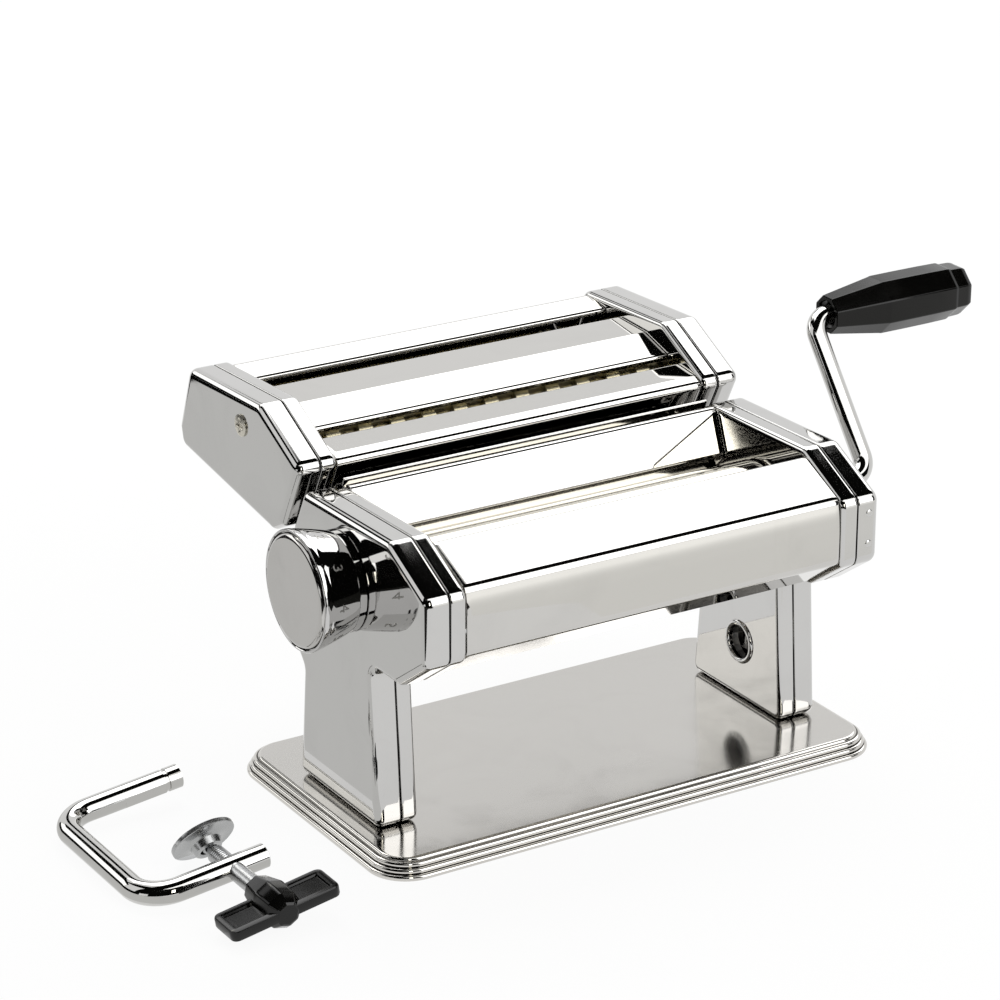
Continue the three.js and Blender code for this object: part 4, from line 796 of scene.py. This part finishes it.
def thickness_knob():
    """Turned knob with a soft waist and a lip round its flat cap, its numbers and spring, and the ring behind it."""
    waist_x = np.linspace(95.4, 107.4, 24)
    lip_run, lip_drop = quarter(0.45, 6)
    body = [(94.95, 4.3), (94.95, 17.86), (95.0, 17.9), *zip(waist_x, knob_reach(waist_x)), (107.9, 21.2),
            (108.4, 21.36), (108.8, 21.4), (109.4, 21.4), *zip(109.6 + lip_run, 21.4 - lip_drop), (110.0, 20.7),
            (109.8, 20.5), (109.4, 20.42), (108.2, 20.4), (108.2, 7.2), (99.1, 7.2), (99.1, 4.3)]
    knob_turned("dial_body", body, KNOB_CHROME, "knob", "thickness_knob", count=112)
    knob_numbers()
    knob_spring()
    run, drop = quarter(2.1, 12)
    cap = [(108.6, 0), (108.6, 20.1), *zip(108.9 + run, 20.15 - drop), (111.0, 17.7), (111.0, 9), (111.0, 0)]
    knob_turned("dial_cap", cap, CAP_CHROME, "knob", "knob_cap", wrap=False)
    ring = [(85.0, 4.3), (85.0, 6.3), (92.3, 6.3), (92.3, 17.7), (92.45, 17.88), (92.7, 17.9), (94.8, 17.9),
            (94.86, 17.86), (94.86, 4.3)]
    knob_turned("dial_ring", ring, KNOB_CHROME, "machine", "index_ring")


# ---- crank
def crank():
    """The bent crank rod with its six-sided end."""
    start, out, end, bend, count = 96.0, 125.0, 186.0, 7.6, 48
    throw = unit(GRIP_AXIS - FRONT_AXIS)
    reach = np.linalg.norm(GRIP_AXIS - FRONT_AXIS)
    corners = [(x, *(FRONT_AXIS + throw * b)) for x, b in ((start, 0), (out, 0), (out, reach), (end, reach))]
    path, every, _ = refine(bent_path(corners, bend), [0.4, 1.0, 8.0, -8.0, -1.0])
    shape = Shape().closed(rod(path, np.where(every < 0.3, 3.3, 3.7), (0, -throw[1], throw[0]), count))
    hexagon = CRANK_FLAT * hexagon_reach(sweep_of(count))
    tip = face_of("crank_arm", 0)
    steps = ((tip, 0.6), (tip, 0.84), (tip + 0.8, 1), (start - 0.4, 1), (start + 0.3, 1))
    shape.closed([at_x(x, ring_of(FRONT_AXIS, hexagon * share, count)) for x, share in steps], flip=True).build(
        "crank_rod", ROD_CHROME, "crank", ["crank_arm"], slot="rod_chrome")


def grip():
    """The eight-sided grip: a bore for the rod, a mouth that widens, and facets with eased edges outside."""
    bore_radius, twist = 4.0, 0.4
    profile = [(132.0, 7.0), (132.25, 7.35), (134, 7.65), (153.6, 10.75), (154.1, 10.9), (154.7, 10.98), (164, 11.02),
               (176, 10.98), (184.6, 10.85), (185.3, 10.7), (185.9, 10.35), (186.5, 10.2), (190.6, 10.05),
               (192.0, 9.75), (193.1, 9.1), (193.75, 8.2), (194.0, 7.0)]
    corner = np.stack([np.cos(sweep_of(8) + twist), np.sin(sweep_of(8) + twist)], 1)
    rows = [at_x(x, GRIP_AXIS + outline(corner * radius, 0.09 * radius, steps=5, hold=0.02)) for x, radius in profile]
    bore = ring_of((0, 0), bore_radius, len(rows[0]))
    away = bore - bore_radius * unit(rows[0][:1, 1:] - GRIP_AXIS)
    bore = np.roll(bore, -int(np.argmin(np.linalg.norm(away, axis=1))), 0)
    mouth = [at_x(x, GRIP_AXIS + bore * wide) for x, wide in ((187.0, 1), (133.6, 1), (132.9, 1.28), (132.0, 1.38))]
    Shape().closed(mouth + rows, flip=True).build(
        "faceted_grip", BLACK_GLOSS, "grip", ["crank_grip"], slot="black_plastic", sharp=20)


# ---- table clamp
CLAMP_AT = np.array([-179.3, -29.1, 4.25])
LEAN, YAW = np.radians(6.9), np.radians(0.3)
SCREW_AT, SCREW_TURN = 32, np.radians(-2.8)
BALL_AT, PAD_TILT = 18.4, np.radians(35.2)


def rotated(a, b, angle):
    """The pair (a, b) turned from a towards b."""
    return np.cos(angle) * a - np.sin(angle) * b, np.sin(angle) * a + np.cos(angle) * b


def clamp_place(points):
    """Points of the clamp's own flat plane leaned up about its back bar, turned a little and set down."""
    u, v, w = np.moveaxis(np.asarray(points, float), -1, 0)
    x, z = rotated(u, w, LEAN)
    return np.stack([*rotated(x, v, YAW), z], -1) + CLAMP_AT


def screw_place(points):
    """Points about the screw's own axis turned by the screw's angle and moved to its place on the arm."""
    u, v, w = np.moveaxis(np.asarray(points, float), -1, 0)
    u, w = rotated(u, w, -SCREW_TURN)
    return clamp_place(np.stack([SCREW_AT + u, v, w], -1))


def pad_place(points):
    """Points about the screw's own axis swivelled about its ball."""
    u, v, w = np.moveaxis(np.asarray(points, float), -1, 0)
    v, w = rotated(v, w, PAD_TILT)
    return clamp_place(np.stack([SCREW_AT + u, BALL_AT + v, w], -1))


def about_screw(along, radius, sweep, reach=1.0):
    """Rings about the screw's own axis: radius times cosine, distance along, radius times sine.

    A radius may be one for each ring or one for each point."""
    along = np.asarray(along, float)[:, None]
    radius = np.reshape(radius, (len(along), -1))
    x, z = radius * (reach * np.cos(sweep)), radius * (reach * np.sin(sweep))
    return np.stack(np.broadcast_arrays(x, along, z), -1)


def clamp_bar():
    """The bent bar: a groove near the end of its upper arm, and a ground flat behind the groove."""
    radius, bend = 4.25, 12.0
    corners = [(47.4, 69.3, 0), (0, 69.3, 0), (0, 0, 0), (44.5, 0, 0)]
    path, every, length = refine(bent_path(corners, bend, 18), [0.25, 0.5, 5.0, 5.2, 5.5, 6.0, 6.3, 6.5, 6.8, 14, 22,
                                                                22.5, 23, -0.6, -0.3, -4])

    def ground_flat(sweep):
        """The reach of a round with one flat: depth over the cosine to the flat's middle, where that is less."""
        gap = np.cos(sweep - np.radians(-24))
        flat = np.where(gap > 0.2, 0.86 / np.maximum(gap, 0.2), 2.0)
        on = (every > 6.6) & (every < 22.7)
        return np.where(on[:, None], np.minimum(1.0, flat), 1.0)

    radii = np.where((every > 5.1) & (every < 6.4), 3.75, radius)
    radii = np.where((every < 0.1) | (every > length - 0.1), 3.8, radii)
    bow = Shape().closed(clamp_place(rod(path, radii, (0, 0, 1), 72, section=ground_flat)))
    bow.build("clamp_bow", ROD_CHROME, "clamp", ["clamp_bar"], slot="rod_chrome")


def clamp_screw():
    """The screw: a smooth shank, a rolled thread that fades at both ends, a neck and a ball."""
    radius, pitch, depth, ball_radius, fade_length = 3.3, 1.1, 0.09, 2.5, 1.2
    low, high = -4.4, 11.6
    sweep = sweep_of(40)
    shank = np.array([(-34.5, 2.2), (-34.5, 3.1), (-34.2, radius), (-5.2, radius), (-4.6, radius)])
    along = np.linspace(low, high, 130)
    phase = (along[:, None] / pitch - sweep / (2 * np.pi)) % 1.0
    fade = np.clip((along - low) / fade_length, 0, 1) * np.clip((high - along) / fade_length, 0, 1)
    thread = radius - depth * fade[:, None] * (0.5 - 0.5 * np.cos(2 * np.pi * phase))
    ball = np.linspace(np.radians(133), np.radians(8), 14)
    tail = np.array([(12.2, 2.2), (12.5, 1.7), (16.5, 1.7),
                     *zip(BALL_AT + ball_radius * np.cos(ball), ball_radius * np.sin(ball))])
    rows = [about_screw(*shank.T, sweep), about_screw(along, thread, sweep), about_screw(*tail.T, sweep)]
    Shape().closed(screw_place(np.concatenate(rows))).build(
        "clamp_thread", ZINC, "clamp_screw", ["clamp_screw"], slot="zinc")


def clamp_pad():
    """The swivel pad: a cup round the ball, and a dished disc with a rolled rim."""
    profile = np.array([(3.0, 0.4), (3.0, 2.95), (1.5, 3.1), (-1.3, 3.1), (-1.5, 3.3), (-1.5, 3.45), (-1.75, 3.7),
                        (-1.75, 4.6), (-1.3, 5.1), (1.2, 5.6), (1.9, 6.3), (2.2, 7.2), (2.4, 8.4), (2.45, 10.6),
                        (2.3, 11.2), (2.5, 11.55), (3.2, 11.6), (3.9, 11.55), (4.15, 11.2), (4.2, 10.0), (4.2, 3.2),
                        (3.6, 2.2), (3.5, 0.6)])
    Shape().closed(pad_place(about_screw(*profile.T, sweep_of(72)))).build(
        "clamp_disc", ZINC, "clamp_pad", ["clamp_pad"], slot="zinc")


def wing_knob():
    """Eight-sided hub that tapers to both ends, with two flat wings whose faces are sunk inside a rim."""
    near, far, half, thick = -17.5, -39.0, 20.5, 2.0
    sweep = sweep_of(96) + 0.4
    octagon = np.minimum(1 / np.cos(sweep % (np.pi / 4) - np.pi / 8), 1.065) * 0.93
    hub = np.array([(far, 0.6), (far, 3.6), (far + 0.4, 4.5), (far + 3.0, 6.5), (far + 3.6, 6.8), (far + 11.6, 7.4),
                    (far + 12.6, 7.3), (near - 0.5, 5.3), (near, 4.8), (near, 3.9), (near - 6.0, 3.7),
                    (near - 6.0, 0.6)])
    shape = Shape().closed(screw_place(about_screw(*hub.T, sweep, octagon)))
    corners = [(-half, far + 0.2), (half, far + 0.2), (half, near - 6.2), (-half, near - 6.2)]
    steps = [(0.0, 0.7), (0.2, 0.2), (0.7, 0), (2.2, 0), (2.6, 0.25), (2.9, 0.9), (4.0, 0.9)]
    lower = [(inset, rise - thick) for inset, rise in steps[::-1]]
    upper = [(inset, thick - rise) for inset, rise in steps]
    rows = [at_z(w, outline(corners, 2.6, inset, steps=6, hold=0.3)) for inset, w in lower + upper]
    shape.closed(screw_place(rows)).build(
        "wing_nut", BLACK_SATIN, "clamp_screw", ["wing_knob"], slot="black_plastic", sharp=24)


# ---- what stays as packed
def dress_inner_parts():
    """Gives the small steel, zinc and brass parts that stay as packed their finish."""
    for material, names in (
            (STEEL, "base_plate left_frame right_frame front_gear rear_gear wide_gear_front wide_gear_rear "
                    "fine_gear_front fine_gear_rear front_scraper rear_scraper wide_comb fine_comb knob_spindle"),
            (ZINC, "leg_screw_1 leg_screw_2 leg_screw_3 leg_screw_4 tie_rod_front"),
            (BRASS, "front_bush_left front_bush_right bearing_block_left bearing_block_right")):
        for name in names.split():
            mesh = NODES[name].data
            mesh.materials.clear()
            mesh.materials.append(material)


# ---- studio, in metres
def seen_directly(tree):
    """One for a ray from the camera, a mirror or a clear body, else nought."""
    path = joined(tree, "ShaderNodeLightPath").outputs
    mirrored = maths(tree, "MAXIMUM", path["Is Glossy Ray"], path["Is Transmission Ray"])
    return maths(tree, "MAXIMUM", path["Is Camera Ray"], mirrored)


def paint(name, shader_in):
    """A material of one shader, which shader_in makes in its tree."""
    material = bpy.data.materials.new(name)
    material.use_nodes = True
    tree = material.node_tree
    tree.nodes.clear()
    joined(tree, "ShaderNodeOutputMaterial", Surface=shader_in(tree).outputs[0])
    return material


def glow(colour, far=None):
    """An even glow, or one that grows from one to the third number between the first two as places along Y."""
    def shader(tree):
        strength = 1.0
        if far:
            place = joined(tree, "ShaderNodeTexCoord").outputs["Object"]
            along = joined(tree, "ShaderNodeSeparateXYZ", i0=place).outputs[1]
            strength = joined(tree, "ShaderNodeMapRange", {"interpolation_type": "SMOOTHSTEP"}, Value=along,
                              i1=far[0], i2=far[1], i3=1.0, i4=far[2]).outputs[0]
        return joined(tree, "ShaderNodeEmission", Color=(*colour, 1), Strength=strength)
    return shader


def floor_shader(tree):
    """Mostly a white glow where it is seen, and matt where it lights the machine."""
    matt = joined(tree, "ShaderNodeBsdfDiffuse", Color=(0.82, 0.82, 0.81, 1)).outputs[0]
    light = joined(tree, "ShaderNodeEmission", Color=(1, 1, 1, 1), Strength=1.03).outputs[0]
    return joined(tree, "ShaderNodeMixShader", Fac=times(tree, seen_directly(tree), 0.9), i1=matt, i2=light)


def staged(name, corners, material):
    """A four-cornered piece of the studio."""
    mesh = bpy.data.meshes.new(name)
    mesh.from_pydata(corners, [], [(0, 1, 2, 3)])
    mesh.materials.append(material)
    piece = bpy.data.objects.new(name, mesh)
    bpy.context.scene.collection.objects.link(piece)
    return piece


def standing(start, end, low, high):
    """The corners of a card that stands between two places on the floor, from one height to another."""
    return [(*start, low), (*end, low), (*end, high), (*start, high)]


def lying(z, *corners):
    """The corners of a card at one height, from all four of them or from two opposite ones."""
    if len(corners) == 2:
        (x0, y0), (x1, y1) = corners
        corners = (x0, y0), (x1, y0), (x1, y1), (x0, y1)
    return [(*corner, z) for corner in corners]


def cards():
    """Cards that only show in reflections: they make the black and white lines of polished chrome."""
    ceiling, table, table_above = 1.45, 0.002, 0.003
    dark = paint("dark_card", glow((0.003, 0.003, 0.0027)))
    dim = paint("dim_card", glow((0.02, 0.02, 0.018)))
    grey = paint("grey_card", glow((0.76, 0.76, 0.75)))
    white = paint("white_card", glow((2.0, 2.0, 1.97)))
    bright = paint("bright_card", glow((6.5, 6.3, 5.6)))
    glowing_table = paint("glowing_table", glow((0.97, 0.965, 0.94), (-0.28, -0.9, 1.5)))
    for name, material, corners in (
            ("card_above", dark, lying(ceiling, (-1.2, -0.75), (2.4, 0.227))),
            ("card_far_left", dark, standing((-0.8, 0.1), (-0.62, -0.22), 0.14, 0.95)),
            ("card_beside_camera", dark, standing((-0.62, -0.22), (-0.288, -0.505), 0.0, 0.66)),
            ("card_past_camera", dark, standing((-0.288, -0.505), (0.02, -0.60), 0.0, 0.68)),
            ("white_gap", bright, standing((-0.2745, -0.503), (-0.2, -0.52), 0.14, 0.36)),
            ("card_left_above", dark, standing((-1.3, -0.6), (-1.3, 2.2), 1.5, 3.2)),
            ("white_left", white, standing((-1.9, 1.7), (-0.6, 2.1), 0.5, 1.2)),
            ("dark_horizon_left", dark, standing((-2.0, 1.75), (-0.5, 2.15), 0.0, 0.46)),
            ("dark_above_left", dark, standing((-1.9, 1.7), (-0.35, 2.15), 1.22, 1.62)),
            ("dark_behind", dark, standing((0.2, 1.95), (0.68, 1.95), 1.12, 1.6)),
            ("card_right", dark, standing((0.98, -1.15), (1.7, -0.9), 0.0, 1.1)),
            ("bright_behind", bright, standing((-0.42, 1.22), (0.0, 1.25), 1.22, 1.4)),
            ("table_end_left", dim, lying(table, (-0.8, -0.62), (-0.27, -0.8), (-0.27, 0.1), (-0.8, 0.1))),
            ("table_end_front", dim, lying(table, (-0.27, -0.8), (0.08, -0.9), (0.08, -0.42), (-0.27, -0.36))),
            ("table_behind_left", grey, lying(table_above, (-0.6, -0.06), (-0.106, 0.42))),
            ("table_far_left", dark, lying(table, (-2.0, 0.42), (-0.2, 0.42), (-0.5, 1.75), (-2.0, 1.75))),
            ("table_farther_left", dark, lying(table, (-2.0, 0.1), (-0.6, 0.42))),
            ("white_above_front", white, lying(ceiling, (-1.5, -1.35), (1.7, -0.76))),
            ("dark_horizon_far_left", dark, standing((-2.0, 1.75), (-2.0, -0.1), 0.0, 0.5)),
            ("table_front_right", glowing_table, lying(table, (0.08, -2.0), (1.6, -0.2)))):
        piece = staged(name, corners, material)
        piece.visible_camera = piece.visible_diffuse = piece.visible_shadow = False
        piece.visible_transmission = piece.visible_volume_scatter = False


def soft_box(name, at, target, width, height, radiance):
    """A soft box with an even glow; its power is four times the glow times its area."""
    lamp = bpy.data.lights.new(name, "AREA")
    lamp.shape, lamp.size, lamp.size_y = "RECTANGLE", width, height
    lamp.energy = radiance * 4 * width * height
    piece = bpy.data.objects.new(name, lamp)
    piece.location = at
    piece.rotation_euler = (Vector(target) - Vector(at)).to_track_quat("-Z", "Y").to_euler()
    piece.visible_camera = False
    bpy.context.scene.collection.objects.link(piece)


def studio():
    """White floor and surroundings, cards, two soft boxes and the camera."""
    scene = bpy.context.scene
    scene.world = bpy.data.worlds.new("studio")
    scene.world.use_nodes = True
    tree = scene.world.node_tree
    background = tree.nodes["Background"].inputs
    background["Color"].default_value = (1, 1, 1, 1)
    tree.links.new(plus(tree, seen_directly(tree), 0.6, 0.4), background["Strength"])
    staged("floor", lying(0, (-8, -8), (8, 8)), paint("pale_floor", floor_shader))
    cards()
    soft_box("box_above", (1.0, 1.03, 1.42), (1.0, 1.03, 0.0), 2.7, 1.55, 1.6)
    soft_box("box_front", (0.52, -1.18, 0.66), (0.0, 0.0, 0.1), 0.95, 1.15, 1.7)

    sensor, lens, look_down, heading = 36.0, 132.84, 21.63, -31.45
    camera_data = bpy.data.cameras.new("camera")
    camera_data.sensor_width, camera_data.lens, camera_data.clip_end = sensor, lens, 50.0
    camera = bpy.data.objects.new("camera", camera_data)
    camera.location = (-0.6462, -1.0157, 0.5774)
    camera.rotation_euler = (np.radians(90 - look_down), 0, np.radians(heading))
    scene.collection.objects.link(camera)
    scene.camera = camera
    scene.view_settings.view_transform = "Standard"


for make in (base_deck, housings, cutter_housings, cutter_screws, covers, ledge_rail, rollers, cutter_shafts,
             thickness_knob, crank, grip, clamp_bar, clamp_screw, clamp_pad, wing_knob,
             dress_inner_parts, studio):
    make()
